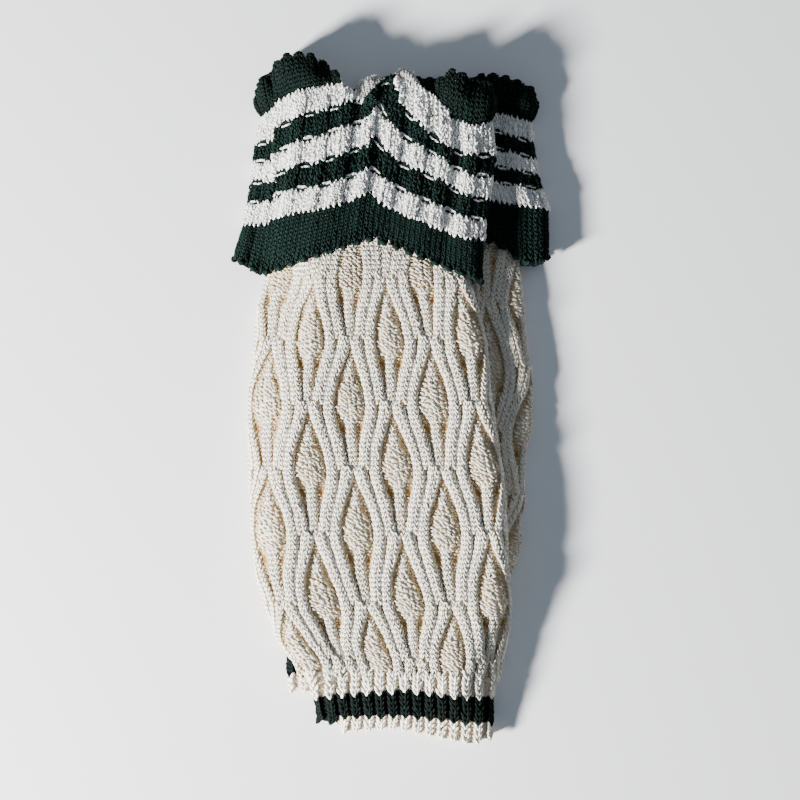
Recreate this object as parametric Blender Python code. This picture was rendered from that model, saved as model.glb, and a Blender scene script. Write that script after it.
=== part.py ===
"""A pair of knitted calf warmers, laid flat, one on the other.

Sizes are in millimetres and become metres where a mesh is made. X runs across the leg, Y from
the ankle to the turned-down cuff, and Z up from the table. Each warmer is a leg tube with
cables and leaves, a ribbed ankle, a striped cuff, a picot hem under the cuff and a picot
frill above it. Every piece is a knitted wall, a tube pressed flat, with its ribs and cables
raised on the outside of a plain inside.
"""
import bpy
import bmesh
import numpy as np
from math import cos, pi, sin, sqrt

MM = 0.001
SEAM_GAP = 0.3
FOLD_WIDTH = 8.0

REPEATS_ON_FRONT = 3
STRAND_RISE = 2.2
STRAND_VALLEY = 0.5
STRAND_EDGE = 0.045
LEG_ROW_STEP = 10.7
LEG_UNDER_COLUMNS = 18
INNER_COLUMNS = 16

CUFF_COLUMNS = 40
CUFF_RIB_COLUMNS = 4
CUFF_RIB_RISE = 1.0
PICOT_LENGTH = 3.0
HEM_RISE = 0.3
FRILL_WAVE = 0.9
FRILL_WAVE_COLUMNS = 5
EAR_PUFF = 1.5

ANKLE_RIBS = 15
ANKLE_RIB_RISE = 1.2

CREAM = (0.80, 0.74, 0.63, 1)
WHITE = (0.78, 0.76, 0.71, 1)
GREEN = (0.010, 0.055, 0.032, 1)
YARN_ROUGHNESS = 0.9


def table(columns, *rows):
    """Named columns of numbers, from rows."""
    return {name: np.array(values, float) for name, values in zip(columns.split(), zip(*rows))}


def read(rows, column, key, value):
    """The column's value where the key column passes the given value."""
    return float(np.interp(value, rows[key], rows[column]))


def ease(t):
    t = min(1.0, max(0.0, t))
    return t * t * (3 - 2 * t)


def blend(a, b, t):
    return a + (b - a) * t


# The pattern's rows of leaves: v is a whole number at each second row of leaves
PATTERN_ROWS = table(
    "y v",
    (-188, 2.7), (-171.5, 2.5), (-134.5, 2.0), (-87.5, 1.5), (-45, 1.0), (-2, 0.5), (41, 0.0),
    (83.5, -0.5), (110, -0.8))

# One repeat of the ogee, in repeats across: where each strand runs, and how far it swings
STRANDS = table(
    "middle swing",
    (0.124, -0.093), (0.200, -0.105), (0.300, -0.105), (0.376, -0.093),
    (0.624, 0.093), (0.700, 0.105), (0.800, 0.105), (0.876, 0.093))

# Height of a leaf and of the stem under it, in repeats down from the leaf's middle
LEAF = table(
    "down rise",
    (-0.50, 0.4), (-0.32, 0.2), (-0.20, 1.9), (-0.05, 2.8), (0.08, 2.4), (0.16, 1.1),
    (0.40, 1.1), (0.50, 0.4))

# Heights of the leg's wall over what it lies on, and how much of the relief stands there
LEG_WALL = table(
    "y under inner_under inner_top top relief",
    (-240, 0.0, 3.0, 6.0, 9.2, 1.0), (-150, 0.0, 3.2, 6.4, 9.6, 1.0),
    (56, 0.0, 3.2, 6.4, 9.6, 1.0), (76, 3.7, 5.8, 7.3, 9.2, 0.5),
    (106, 3.7, 5.5, 6.9, 8.6, 0.0), (240, 3.7, 5.5, 6.9, 8.6, 0.0))

# Heights of the cuff's wall from its upper seam, 0, to its hem, 1
CUFF_WALL = table(
    "down under inner_under inner_top top",
    (0.0, 0.0, 2.7, 9.4, 12.1), (0.5, 0.0, 2.7, 9.9, 12.6), (1.0, 0.0, 2.7, 11.4, 14.1))

# Heights of the frill's wall from its seam, 0, to its picots, 1
FRILL_WALL = table(
    "up under inner_under inner_top top",
    (0.0, 0.0, 4.1, 8.0, 12.1), (0.5, 0.4, 4.1, 8.0, 12.0), (1.0, 1.5, 4.3, 7.6, 10.6))

# Heights of the ankle rib's wall from the leg, 0, to the hem, 1
ANKLE_WALL = table(
    "down under inner_under inner_top top",
    (0.0, 0.0, 3.2, 6.4, 9.4), (1.0, 0.0, 2.8, 5.8, 8.6))

# The upper warmer: its sides, and how far a knitted row tilts down to the right
UPPER_LEG = table(
    "y left right tilt",
    (-182, -60.5, 70.5, -0.045), (-177, -62.0, 71.5, -0.04), (-161.5, -73.0, 75.0, -0.02),
    (-146.5, -78.0, 77.5, 0), (-134, -83.0, 77.5, 0), (-118.5, -87.5, 76.0, 0),
    (-88.5, -91.0, 74.5, 0), (-61, -92.5, 73.5, 0), (-29, -93.5, 68.5, 0), (4.5, -93.0, 64.0, 0),
    (37, -89.5, 61.0, 0), (62.5, -87.5, 55.5, 0), (82.5, -82.0, 50.0, 0), (106, -80.0, 51.0, 0),
    (160, -79.0, 54.0, 0))

# Lines across the upper cuff, seam to hem: left end, left valley, slope, peak, slope, right end
UPPER_CUFF = (
    table("x y", (-86, 191.5), (-77, 197.5), (-48, 210.5), (-4, 219), (30, 199), (66, 181)),
    table("x y", (-89, 174), (-77.5, 179.5), (-42, 197.5), (-3.5, 216), (30, 191), (67, 163)),
    table("x y", (-90.5, 161), (-78.5, 165), (-45, 181.5), (-10, 198.5), (28, 173.5),
          (65.5, 148)),
    table("x y", (-92, 146.5), (-79, 151.5), (-46, 163), (-12.5, 175), (26, 154.5),
          (63.5, 134.5)),
    table("x y", (-94.5, 133.5), (-80.5, 136), (-47, 146), (-13.5, 156), (24, 139.5),
          (61, 123)),
    table("x y", (-98.5, 118), (-80.5, 120.5), (-47, 129.5), (-13.5, 138.5), (23, 123),
          (60, 107.5)),
    table("x y", (-105, 97.5), (-86.5, 86.5), (-49, 98), (-12, 109.5), (24, 95.5),
          (59.5, 81)))

# The picot edge of the upper frill: two ears, with the middle turned in
UPPER_FRILL = table(
    "across x y",
    (0.00, -91, 203), (0.06, -89.5, 213), (0.13, -83, 220.5), (0.20, -71.5, 229),
    (0.30, -54, 229), (0.37, -42, 223.5), (0.43, -31, 217.5), (0.50, -9, 220.5),
    (0.56, 8, 222), (0.61, 17, 211.5), (0.66, 26, 208), (0.72, 34, 215), (0.80, 46, 216),
    (0.90, 60, 212), (0.96, 68, 208), (1.00, 69, 198))

UPPER_ANKLE = (
    table("x y", (-60.5, -179.5), (-30, -180.8), (5, -182.4), (40, -184), (70.5, -185.2)),
    table("x y", (-49, -199), (-33, -196.5), (10, -193), (43.5, -198), (66, -199.5)),
    table("x y", (-47, -212), (-33, -211.5), (6, -211), (36, -213.5), (66, -217)),
    table("x y", (-48, -214.5), (-30, -221.5), (4, -219.5), (36, -227.5), (54, -230.5),
          (65.5, -226.5)))

# The lower warmer, which shows along the right side and at the ankle's left corner
LOWER_LEG = table(
    "y left right tilt",
    (-154, -72.0, 65.5, 0), (-136.5, -76.5, 73.0, 0), (-122, -78.5, 77.0, 0),
    (-95, -79.5, 85.0, 0), (-66.5, -77.5, 87.5, 0), (-40, -74.5, 88.5, 0),
    (-22, -71.5, 90.5, 0), (4.5, -66.5, 94.0, 0), (33.5, -61.0, 90.0, 0), (51.5, -57.0, 88.5, 0),
    (65.5, -53.0, 86.0, 0), (82.5, -50.0, 86.0, 0), (106, -50.0, 85.0, 0), (160, -48.0, 83.0, 0))

LOWER_CUFF = (
    table("x y", (-58, 186), (-48, 189), (-15, 198), (22, 208), (69.5, 194), (93, 187)),
    table("x y", (-57.5, 172), (-48, 175), (-15, 185), (22, 196), (69.5, 182), (93, 174)),
    table("x y", (-58.5, 160), (-48, 163), (-15, 173), (22, 184), (69.5, 170), (95, 163)),
    table("x y", (-59, 147), (-48, 150), (-15, 160), (22, 171), (69.5, 158), (96, 152)),
    table("x y", (-60, 136), (-49, 139), (-15, 149), (22, 160), (69.5, 147), (99.5, 142)),
    table("x y", (-61, 123), (-50, 126), (-15, 136), (22, 146), (69.5, 134), (104.5, 129)),
    table("x y", (-62.5, 98), (-50, 99.5), (-15, 109), (22, 119), (69.5, 108), (105, 94)))

LOWER_FRILL = table(
    "across x y",
    (0.00, -62, 196), (0.06, -60, 206), (0.20, -38, 214), (0.40, 5, 219), (0.55, 29, 217),
    (0.70, 50, 216), (0.80, 66, 218.5), (0.90, 84, 214), (0.96, 96, 208), (1.00, 98, 199))

LOWER_ANKLE = (
    table("x y", (-72, -154.3), (-4, -154.3), (65.5, -154.3)),
    table("x y", (-68, -169.5), (-6, -169.5), (56, -169.5)),
    table("x y", (-67.5, -184), (-8, -184), (51, -184)),
    table("x y", (-67, -195), (-8, -195.5), (50, -195)))

# What the upper warmer lies on: the lower one's height, and its sides, past which it droops
SUPPORT = table(
    "y height left right",
    (-240, 10.8, -67, 50), (-197, 10.8, -67, 50), (-170, 12.3, -67.5, 55.5),
    (-150, 12.8, -73.5, 67.5), (-122, 12.8, -78.5, 77), (-66, 12.8, -77.5, 87.5),
    (4, 12.8, -66.5, 94), (50, 12.8, -57, 90), (75, 15.4, -52, 90), (100, 15.4, -62.5, 104.5),
    (125, 15.4, -61, 104.5), (173, 14.4, -58, 93), (240, 13.9, -58, 93))
DROOP_IN = 10.0
DROOP_OUT = 30.0
DROOP_START_Y = -197.0
DROOP_END_Y = -229.0


def on_table(x, y):
    return 0.0


def on_lower_warmer(x, y):
    """Height of the surface that the upper warmer lies on."""
    height = read(SUPPORT, "height", "y", y)
    span = DROOP_IN + DROOP_OUT
    left = ease((x - read(SUPPORT, "left", "y", y) + DROOP_OUT) / span)
    right = ease((read(SUPPORT, "right", "y", y) + DROOP_OUT - x) / span)
    hem = ease((y - DROOP_END_Y) / (DROOP_START_Y - DROOP_END_Y))
    return height * left * right * hem


def across(turn, left, right, edge):
    """X at a share of the way over the front, measured along the rounded folds."""
    quarter = edge * pi / 2
    flat = right - left - 2 * edge
    length = turn * (flat + 2 * quarter)
    if length < quarter:
        return left + edge * (1 - cos(length / edge))
    if length > flat + quarter:
        return right - edge * (1 - cos((flat + 2 * quarter - length) / edge))
    return left + edge + length - quarter


def wall_point(x, y, left, right, under, top, side, relief, base, edge=FOLD_WIDTH):
    """A point of a flattened tube: side is 1 on top and -1 underneath."""
    inward = min(1.0, max(0.0, min(x - left, right - x) / edge))
    outward = 1 - inward
    upward = sqrt(max(0.0, 1 - outward * outward))
    sign = -1 if x - left < right - x else 1
    middle = (under + top) / 2
    z = middle + side * upward * (top - under) / 2
    if side < 0:
        relief *= max(0.0, 1 - 1.6 * upward)
    x_out = x + sign * outward * relief
    return (x_out * MM, y * MM, (z + side * upward * relief + base(x, y)) * MM)


def round_turns(top_columns, under_columns):
    """Turns round a tube: 0 to 1 over the top, 1 to 2 back underneath."""
    over = [i / top_columns for i in range(top_columns)]
    back = [1 + i / under_columns for i in range(under_columns)]
    return over + back


def fold_turn(turn):
    """Side of the tube, and the share across it, for a turn round it."""
    turn = turn % 2
    return (1, turn) if turn <= 1 else (-1, 2 - turn)


def join_rings(mesh, ring_a, ring_b, turns_a, turns_b):
    """A strip of triangles between two closed rings with unlike numbers of points."""
    i = 0
    j = 0
    count_a = len(ring_a)
    count_b = len(ring_b)
    while i < count_a or j < count_b:
        next_a = turns_a[i + 1] if i + 1 < count_a else turns_a[0] + 2 if i < count_a else 9
        next_b = turns_b[j + 1] if j + 1 < count_b else turns_b[0] + 2 if j < count_b else 9
        a = ring_a[i % count_a]
        b = ring_b[j % count_b]
        if next_a <= next_b:
            mesh.faces.new((a, ring_a[(i + 1) % count_a], b))
            i += 1
        else:
            mesh.faces.new((a, ring_b[(j + 1) % count_b], b))
            j += 1


def add_skin(mesh, rings):
    """Faces between rings with like numbers of points; returns their vertices."""
    rows = [[mesh.verts.new(point) for point in ring] for ring in rings]
    for upper, lower in zip(rows, rows[1:]):
        count = len(upper)
        for i in range(count):
            following = (i + 1) % count
            mesh.faces.new((upper[i], upper[following], lower[following], lower[i]))
    return rows


def make_tube(name, outer, inner, outer_turns, inner_turns, colour, collection):
    """One closed knitted wall from its outer and inner rings."""
    mesh = bmesh.new()
    outer_rows = add_skin(mesh, outer)
    inner_rows = add_skin(mesh, inner)
    for end in (0, -1):
        join_rings(mesh, outer_rows[end], inner_rows[end], outer_turns, inner_turns)
    bmesh.ops.triangulate(mesh, faces=[f for f in mesh.faces if len(f.verts) > 3])
    bmesh.ops.recalc_face_normals(mesh, faces=mesh.faces)
    data = bpy.data.meshes.new(name)
    mesh.to_mesh(data)
    mesh.free()
    material = bpy.data.materials.new(name + "_yarn")
    material.use_nodes = True
    shader = material.node_tree.nodes["Principled BSDF"]
    shader.inputs["Base Color"].default_value = colour
    shader.inputs["Roughness"].default_value = YARN_ROUGHNESS
    data.materials.append(material)
    piece = bpy.data.objects.new(name, data)
    collection.objects.link(piece)


def leg_columns(first, last):
    """The leg's knitted columns: kind, repeat and index in the repeat, in order across."""
    columns = []
    kinds = (
        (0.0, "gap", 0), (0.03, "gap_edge", 0), (0.124, "strand", 0), (0.16, "valley", 0),
        (0.200, "strand", 1), (0.25, "valley", 1), (0.300, "strand", 2), (0.34, "valley", 2),
        (0.376, "strand", 3), (0.44, "gap_edge", 3), (0.5, "gap", 1), (0.56, "gap_edge", 4),
        (0.624, "strand", 4), (0.66, "valley", 4), (0.700, "strand", 5), (0.75, "valley", 5),
        (0.800, "strand", 6), (0.84, "valley", 6), (0.876, "strand", 7), (0.97, "gap_edge", 7))
    for repeat in range(-1, REPEATS_ON_FRONT + 1):
        for place, kind, index in kinds:
            if first <= repeat + place <= last:
                columns.append((repeat, kind, index))
    return columns


def strand_place(index, v):
    return STRANDS["middle"][index] + STRANDS["swing"][index] * cos(2 * pi * v)


def column_place(column, v):
    """Where a knitted column runs, in repeats across, and how high it stands."""
    repeat, kind, index = column
    if kind == "strand":
        return repeat + strand_place(index, v), STRAND_RISE
    if kind == "valley":
        place = (strand_place(index, v) + strand_place(index + 1, v)) / 2
        return repeat + place, STRAND_VALLEY
    if kind == "gap_edge":
        gap = (0.0, 0.5, 0.5, 1.0)[(0, 3, 4, 7).index(index)]
        strand = strand_place(index, v)
        reach = min(STRAND_EDGE, abs(strand - gap) / 2)
        return repeat + strand + (reach if gap > strand else -reach), 0.0
    shift = 0.5 if index == 0 else 0.0
    down = (v - shift + 0.5) % 1 - 0.5
    return repeat + index * 0.5, read(LEAF, "rise", "down", down)


def leg_course(leg, y, cuff_seam):
    """One knitted row of the leg: its ends and its height along the leg at each x."""
    if cuff_seam is not None:
        left = leg["left"][-1]
        right = leg["right"][-1]
        return left, right, lambda x: read(cuff_seam, "y", "x", x) - 2.5
    tilt = read(leg, "tilt", "y", y)
    left = read(leg, "left", "y", y)
    right = read(leg, "right", "y", y)
    return left, right, lambda x: y + tilt * x


def leg_rows(lowest, step):
    """Y of the leg's knitted rows, from under the cuff to the ankle."""
    rows = [150, 106, 90, 76, 66, 56]
    count = round((rows[-1] - lowest) / step)
    return rows + [blend(rows[-1], lowest, (i + 1) / count) for i in range(count)]


def make_leg(name, leg, cuff, base, offset, pattern_shift, step, collection):
    """The leg tube, with its strands and leaves raised on top and round the folds."""
    first = -offset - 0.16
    columns = leg_columns(first, REPEATS_ON_FRONT - offset + 0.16)
    lowest = leg["y"][0]
    rows = [None] + leg_rows(lowest, step)
    outer = []
    turns = []
    for y in rows:
        wall_y = 180 if y is None else y
        left, right, line = leg_course(leg, wall_y, cuff[0] if y is None else None)
        v = read(PATTERN_ROWS, "v", "y", wall_y) + pattern_shift
        relief_share = read(LEG_WALL, "relief", "y", wall_y)
        places = []
        for column in columns:
            place, rise = column_place(column, v)
            places.append(((place + offset) / REPEATS_ON_FRONT, rise * relief_share))
        last_turn = places[-1][0]
        room = places[0][0] + 2 - last_turn
        for i in range(1, LEG_UNDER_COLUMNS):
            places.append((last_turn + room * i / LEG_UNDER_COLUMNS, 0.0))
        under = read(LEG_WALL, "under", "y", wall_y)
        top = read(LEG_WALL, "top", "y", wall_y)
        ring = []
        for turn, rise in places:
            side, share = fold_turn(turn)
            x = across(share, left, right, FOLD_WIDTH)
            ring.append(wall_point(x, line(x), left, right, under, top, side, rise, base))
        outer.append(ring)
        turns = [turn for turn, rise in places]
    inner = []
    inner_turns = round_turns(INNER_COLUMNS, INNER_COLUMNS)
    kept = rows[:1] + rows[2:7] + rows[8::2]
    if kept[-1] != rows[-1]:
        kept.append(rows[-1])
    for y in kept:
        wall_y = 180 if y is None else y
        left, right, line = leg_course(leg, wall_y, cuff[0] if y is None else None)
        under = read(LEG_WALL, "inner_under", "y", wall_y)
        top = read(LEG_WALL, "inner_top", "y", wall_y)
        thickness = under - read(LEG_WALL, "under", "y", wall_y)
        ring = []
        for turn in inner_turns:
            side, share = fold_turn(turn)
            x = across(share, left + thickness, right - thickness, FOLD_WIDTH / 2)
            ring.append(wall_point(x, line(x), left + thickness, right - thickness, under, top,
                                   side, 0.0, base, FOLD_WIDTH / 2))
        inner.append(ring)
    make_tube(name, outer, inner, turns, inner_turns, CREAM, collection)


def make_band(name, lines, wall, key, reach, turns, inner_turns, base, relief, edge_teeth, colour,
              collection, puff=0.0):
    """A ring of cloth between lines across the front; relief gives each turn's rise."""
    outer = []
    inner = []
    inner_lines = sorted({*range(0, len(lines), 2), len(lines) - 1})
    for number, line in enumerate(lines):
        share_down = blend(reach[0], reach[1], number / (len(lines) - 1))
        tooth = edge_teeth if number == len(lines) - 1 else 0.0
        left = line["x"][0]
        right = line["x"][-1]
        for ring_turns, rings, names in ((turns, outer, ("under", "top")),
                                         (inner_turns, inner, ("inner_under", "inner_top"))):
            under = read(wall, names[0], key, share_down)
            top = read(wall, names[1], key, share_down)
            inset = 0.0 if rings is outer else read(wall, "inner_under", key, 0.0)
            edge = FOLD_WIDTH if rings is outer else FOLD_WIDTH / 2
            ring = []
            for turn in ring_turns:
                side, share = fold_turn(turn)
                x = across(share, left + inset, right - inset, edge)
                y = read(line, "y", "x", x)
                y += tooth * (0.5 if round(turn * CUFF_COLUMNS) % 2 else -0.5)
                rise = 0.0
                if rings is outer:
                    rise = relief(turn, share_down) + puff * sin(pi * share_down)
                ring.append(wall_point(x, y, left + inset, right - inset, under, top, side, rise,
                                       base, edge))
            if rings is outer or number in inner_lines:
                rings.append(ring)
    make_tube(name, outer, inner, turns, inner_turns, colour, collection)


def shifted(line, distance):
    return {"x": line["x"], "y": line["y"] + distance}


def between(line_a, line_b, t, columns=12):
    """A line part of the way from one line across the front to another."""
    shares = np.linspace(0, 1, columns + 1)
    x_a = blend(line_a["x"][0], line_a["x"][-1], shares)
    x_b = blend(line_b["x"][0], line_b["x"][-1], shares)
    y_a = np.interp(x_a, line_a["x"], line_a["y"])
    y_b = np.interp(x_b, line_b["x"], line_b["y"])
    return {"x": blend(x_a, x_b, t), "y": blend(y_a, y_b, t)}


def cuff_rib(turn, down):
    """Broad knit ribs with a narrow purl ditch between them, drawn in flat at the seam."""
    ditch = round(turn * CUFF_COLUMNS) % CUFF_RIB_COLUMNS == 0
    return 0.0 if ditch or down == 0 else CUFF_RIB_RISE


def hem_rib(turn, down):
    return HEM_RISE


def frill_wave(turn, up):
    return FRILL_WAVE * (1 + cos(2 * pi * turn * CUFF_COLUMNS / FRILL_WAVE_COLUMNS)) * up


def ankle_turns():
    """Turns round the ankle: a valley and the two sides of each rib, plain underneath."""
    over = []
    for rib in range(ANKLE_RIBS):
        for place in (0.0, 0.36, 0.72):
            over.append((rib + place) / ANKLE_RIBS)
    return over + [1 + i / LEG_UNDER_COLUMNS for i in range(LEG_UNDER_COLUMNS)]


def ankle_rib(turn, down):
    if turn > 1:
        return 0.0
    return 0.0 if turn * ANKLE_RIBS % 1 < 0.01 or turn * ANKLE_RIBS % 1 > 0.99 else ANKLE_RIB_RISE


def make_cuff(side, cuff, frill, base, collection):
    """The striped cuff, its picot hem and the picot frill above its seam."""
    full = round_turns(CUFF_COLUMNS, CUFF_COLUMNS)
    body_lines = list(cuff[:-1])
    hem_top = shifted(cuff[-2], -SEAM_GAP)
    hem_lines = [hem_top, between(hem_top, cuff[-1], 0.5), between(hem_top, cuff[-1], 0.88),
                 cuff[-1]]
    last = (len(cuff) - 2) / (len(cuff) - 1)
    make_band(side + "_cuff", body_lines, CUFF_WALL, "down", (0, last), full, full, base,
              cuff_rib, 0.0, WHITE, collection)
    make_band(side + "_picot_hem", hem_lines, CUFF_WALL, "down", (last, 1), full, full, base,
              hem_rib, PICOT_LENGTH, GREEN, collection)
    seam = shifted(cuff[0], SEAM_GAP)
    edge = {"x": frill["x"], "y": frill["y"]}
    frill_lines = [seam, between(seam, edge, 0.35, CUFF_COLUMNS),
                   between(seam, edge, 0.75, CUFF_COLUMNS), edge]
    make_band(side + "_frill", frill_lines, FRILL_WALL, "up", (0, 1), full, full, base,
              frill_wave, PICOT_LENGTH, GREEN, collection, EAR_PUFF)


def make_warmer(side, leg, cuff, frill, ankle, base, offset, pattern_shift, step, collection):
    make_leg(side + "_leg", leg, cuff, base, offset, pattern_shift, step, collection)
    make_cuff(side, cuff, frill, base, collection)
    ankle_lines = [shifted(ankle[0], -SEAM_GAP)] + list(ankle[1:])
    make_band(side + "_ankle_rib", ankle_lines, ANKLE_WALL, "down", (0, 1), ankle_turns(),
              round_turns(INNER_COLUMNS, INNER_COLUMNS), base, ankle_rib, 0.0, CREAM, collection)


for leftover in list(bpy.data.objects):
    bpy.data.objects.remove(leftover)
warmers = bpy.data.collections.new("calf_warmers")
bpy.context.scene.collection.children.link(warmers)
make_warmer("lower", LOWER_LEG, LOWER_CUFF, LOWER_FRILL, LOWER_ANKLE, on_table, 0.45, 0.3, 16,
            warmers)
make_warmer("upper", UPPER_LEG, UPPER_CUFF, UPPER_FRILL, UPPER_ANKLE, on_lower_warmer, 0.26, 0.0,
            LEG_ROW_STEP, warmers)
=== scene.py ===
"""A pair of hand-knitted calf warmers, laid flat one on the other and seen from straight above.

Lengths are in millimetres and become metres where a mesh is made. X runs across the legs, Y
from the ankles to the turned-down cuffs, and Z up from the table.
"""
import bpy
import numpy as np
from math import cos, pi, radians, sin
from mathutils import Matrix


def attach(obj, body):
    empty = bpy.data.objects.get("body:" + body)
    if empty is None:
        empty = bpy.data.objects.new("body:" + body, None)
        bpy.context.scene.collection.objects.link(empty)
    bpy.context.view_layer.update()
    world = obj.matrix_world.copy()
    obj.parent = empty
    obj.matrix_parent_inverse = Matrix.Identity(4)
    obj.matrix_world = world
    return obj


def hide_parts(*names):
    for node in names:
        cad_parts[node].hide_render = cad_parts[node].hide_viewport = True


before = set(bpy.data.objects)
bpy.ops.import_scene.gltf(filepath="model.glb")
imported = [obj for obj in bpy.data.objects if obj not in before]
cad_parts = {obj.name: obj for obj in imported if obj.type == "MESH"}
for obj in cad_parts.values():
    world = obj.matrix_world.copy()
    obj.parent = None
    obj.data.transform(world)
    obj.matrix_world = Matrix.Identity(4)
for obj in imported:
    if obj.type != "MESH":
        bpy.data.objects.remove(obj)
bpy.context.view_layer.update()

# The leg: a tube knitted in thick cream wool. Ogee cables of four wales swing round lace
# leaves, each on a stem of two wales with a slit at either side. It is knitted in the
# round in one go and laid flat, so it has two soft folds and no side seam.
MM = 0.001
FOLD_WIDTH = 8.0
FOLDS_EXTRA = 9.0
REPEATS_ON_FRONT = 3
FOLD_REACH = 0.05
STRAND_RISE = 2.3
STRAND_HALF = 0.037
LEG_STITCH = 3.1
STITCHES_IN_REPEAT = 12
LEAF_GRAIN = (3.6, 2.05)
LEAF_SLANT = radians(-37)
V_LENGTH = 86.0
GROUND_WIDE = 2.5
GROUND_TALL = 2.1
# Painted shade: how tan the ground between the cables is painted.
GROUND_SHADE_TAN = 0.55
GROUND_BELOW = 1.0
GROUND_CLEAR_OF_SLIT = 0.45
WALE_PLUMP = 1.15
WALE_WIDTHS = (0.05, 0.076)
WALE_PAST_LOWEST = 4.5
STEM_WIDE = 3.0
LEAF_TOP = -0.20
LEAF_FOOT = 0.135
LEAF_MARGIN = 0.008
STEM_WALES = ((-0.32, -0.245, (0.0,)), (-0.245, -0.18, (-0.026, 0.026)),
              (0.12, 0.50, (-0.028, 0.028)))
CREAM = (0.95, 0.89, 0.775)
# Painted shade: the tan that the cream wool is given down in the knit where it lies in shade, and the
# painted shadow brown seen inside the eyelets.
CREAM_SHADE = (0.56, 0.41, 0.215)
SLIT_SHADOW_BROWN = (0.30, 0.145, 0.036)


def table(columns, *rows):
    """Named columns of numbers, from rows."""
    return {name: np.array(values, float) for name, values in zip(columns.split(), zip(*rows))}


def read(rows, column, key, value):
    """The column's value where the key column passes the given value."""
    return np.interp(value, rows[key], rows[column])


def ease(t):
    t = np.clip(t, 0.0, 1.0)
    return t * t * (3 - 2 * t)


def blend(a, b, t):
    return a + (b - a) * t


LEG_CREASES = table(
    "x y wide tall depth",
    (-38, -170, 16, 9, -1.3), (16, -176, 20, 8, -1.1), (-66, -146, 9, 20, 1.0),
    (34, 88, 26, 8, 1.1), (-44, 84, 20, 8, -0.9), (52, -60, 9, 34, -0.8), (-70, 10, 9, 40, 0.7))

PATTERN_ROWS = table(
    "y v",
    (-188, 2.7), (-171.5, 2.5), (-134.5, 2.0), (-87.5, 1.5), (-45, 1.0), (-2, 0.5), (41, 0.0),
    (83.5, -0.5), (110, -0.8))

STRANDS = table(
    "phase inner outer",
    (0.0, 0.031, 0.105), (0.1, 0.062, 0.135), (0.2, 0.118, 0.180), (0.3, 0.172, 0.228),
    (0.4, 0.208, 0.264), (0.5, 0.224, 0.282), (0.6, 0.212, 0.274), (0.7, 0.174, 0.241),
    (0.8, 0.138, 0.207), (0.9, 0.112, 0.178), (1.0, 0.092, 0.165))
STRAND_SIDES = ("inner", "outer", "outer", "inner", "inner", "outer", "outer", "inner")

LEAF = table(
    "down rise half",
    (-0.50, 0.0, 0.010), (-0.30, 0.8, 0.020), (-0.22, 1.4, 0.055), (-0.14, 2.2, 0.115),
    (-0.04, 2.9, 0.160), (0.03, 3.0, 0.168), (0.09, 2.4, 0.140), (0.125, 1.5, 0.085),
    (0.16, 1.3, 0.056), (0.42, 1.3, 0.054), (0.495, 1.6, 0.054), (0.50, 0.4, 0.020))

SLITS = table(
    "down off tall wide lean",
    (0.190, -0.108, 0.034, 0.027, 0.55), (0.185, 0.116, 0.030, 0.024, -0.55),
    (0.415, -0.068, 0.042, 0.022, 0.05), (0.415, 0.068, 0.042, 0.022, -0.05))

LEG_WALL = table(
    "y under inner_under inner_top top relief",
    (-240, 0.0, 3.0, 6.0, 9.2, 1.0), (-150, 0.0, 3.2, 6.4, 9.6, 1.0),
    (56, 0.0, 3.2, 6.4, 9.6, 1.0), (76, 3.7, 5.8, 7.3, 9.2, 0.5),
    (106, 3.7, 5.5, 6.9, 8.6, 0.0), (240, 3.7, 5.5, 6.9, 8.6, 0.0))

UPPER_LEG = table(
    "y left right tilt",
    (-182, -60.5, 70.5, -0.045), (-177, -62.0, 71.5, -0.04), (-161.5, -73.0, 75.0, -0.02),
    (-146.5, -78.0, 77.5, 0), (-134, -83.0, 77.5, 0), (-118.5, -87.5, 76.0, 0),
    (-88.5, -91.0, 74.5, 0), (-61, -92.5, 73.5, 0), (-29, -93.5, 68.5, 0), (4.5, -93.0, 64.0, 0),
    (37, -89.5, 61.0, 0), (62.5, -87.5, 55.5, 0), (82.5, -82.0, 50.0, 0), (106, -80.0, 51.0, 0),
    (160, -79.0, 54.0, 0))

LOWER_LEG = table(
    "y left right tilt",
    (-154, -72.0, 65.5, 0), (-136.5, -76.5, 73.0, 0), (-122, -78.5, 77.0, 0),
    (-95, -79.5, 85.0, 0), (-66.5, -77.5, 87.5, 0), (-40, -74.5, 88.5, 0),
    (-22, -71.5, 90.5, 0), (4.5, -66.5, 94.0, 0), (33.5, -61.0, 90.0, 0), (51.5, -57.0, 88.5, 0),
    (65.5, -53.0, 86.0, 0), (82.5, -50.0, 86.0, 0), (106, -50.0, 85.0, 0), (160, -48.0, 83.0, 0))

UPPER_SEAM = table(
    "x y", (-86, 190.5), (-81, 195), (-76, 200.5), (-68.5, 204), (-59, 206.5), (-44, 209.8),
    (-32, 210), (-23, 203.5), (-16.5, 200.5), (-11, 206.5), (-5.5, 212.5), (0, 215), (3.5, 216),
    (11, 213), (19.5, 209), (28.5, 203), (37, 194), (39, 188), (46, 186.5), (54.5, 182),
    (62.5, 184), (66, 186))
LOWER_SEAM = table("x y", (-58, 186), (-48, 189), (-15, 198), (22, 208), (69.5, 194), (93, 187))

SUPPORT = table(
    "y height left right",
    (-240, 10.8, -67, 50), (-197, 10.8, -67, 50), (-170, 12.3, -67.5, 55.5),
    (-150, 12.8, -73.5, 67.5), (-122, 12.8, -78.5, 77), (-66, 12.8, -77.5, 87.5),
    (4, 12.8, -66.5, 94), (50, 12.8, -57, 90), (75, 15.4, -52, 90), (100, 15.4, -62.5, 104.5),
    (125, 15.4, -61, 104.5), (173, 14.4, -58, 93), (240, 13.9, -58, 93))
DROOP_IN = 10.0
DROOP_OUT = 30.0
DROOP_START_Y = -197.0
DROOP_END_Y = -229.0


def on_table(x, y):
    return x * 0.0


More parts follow.
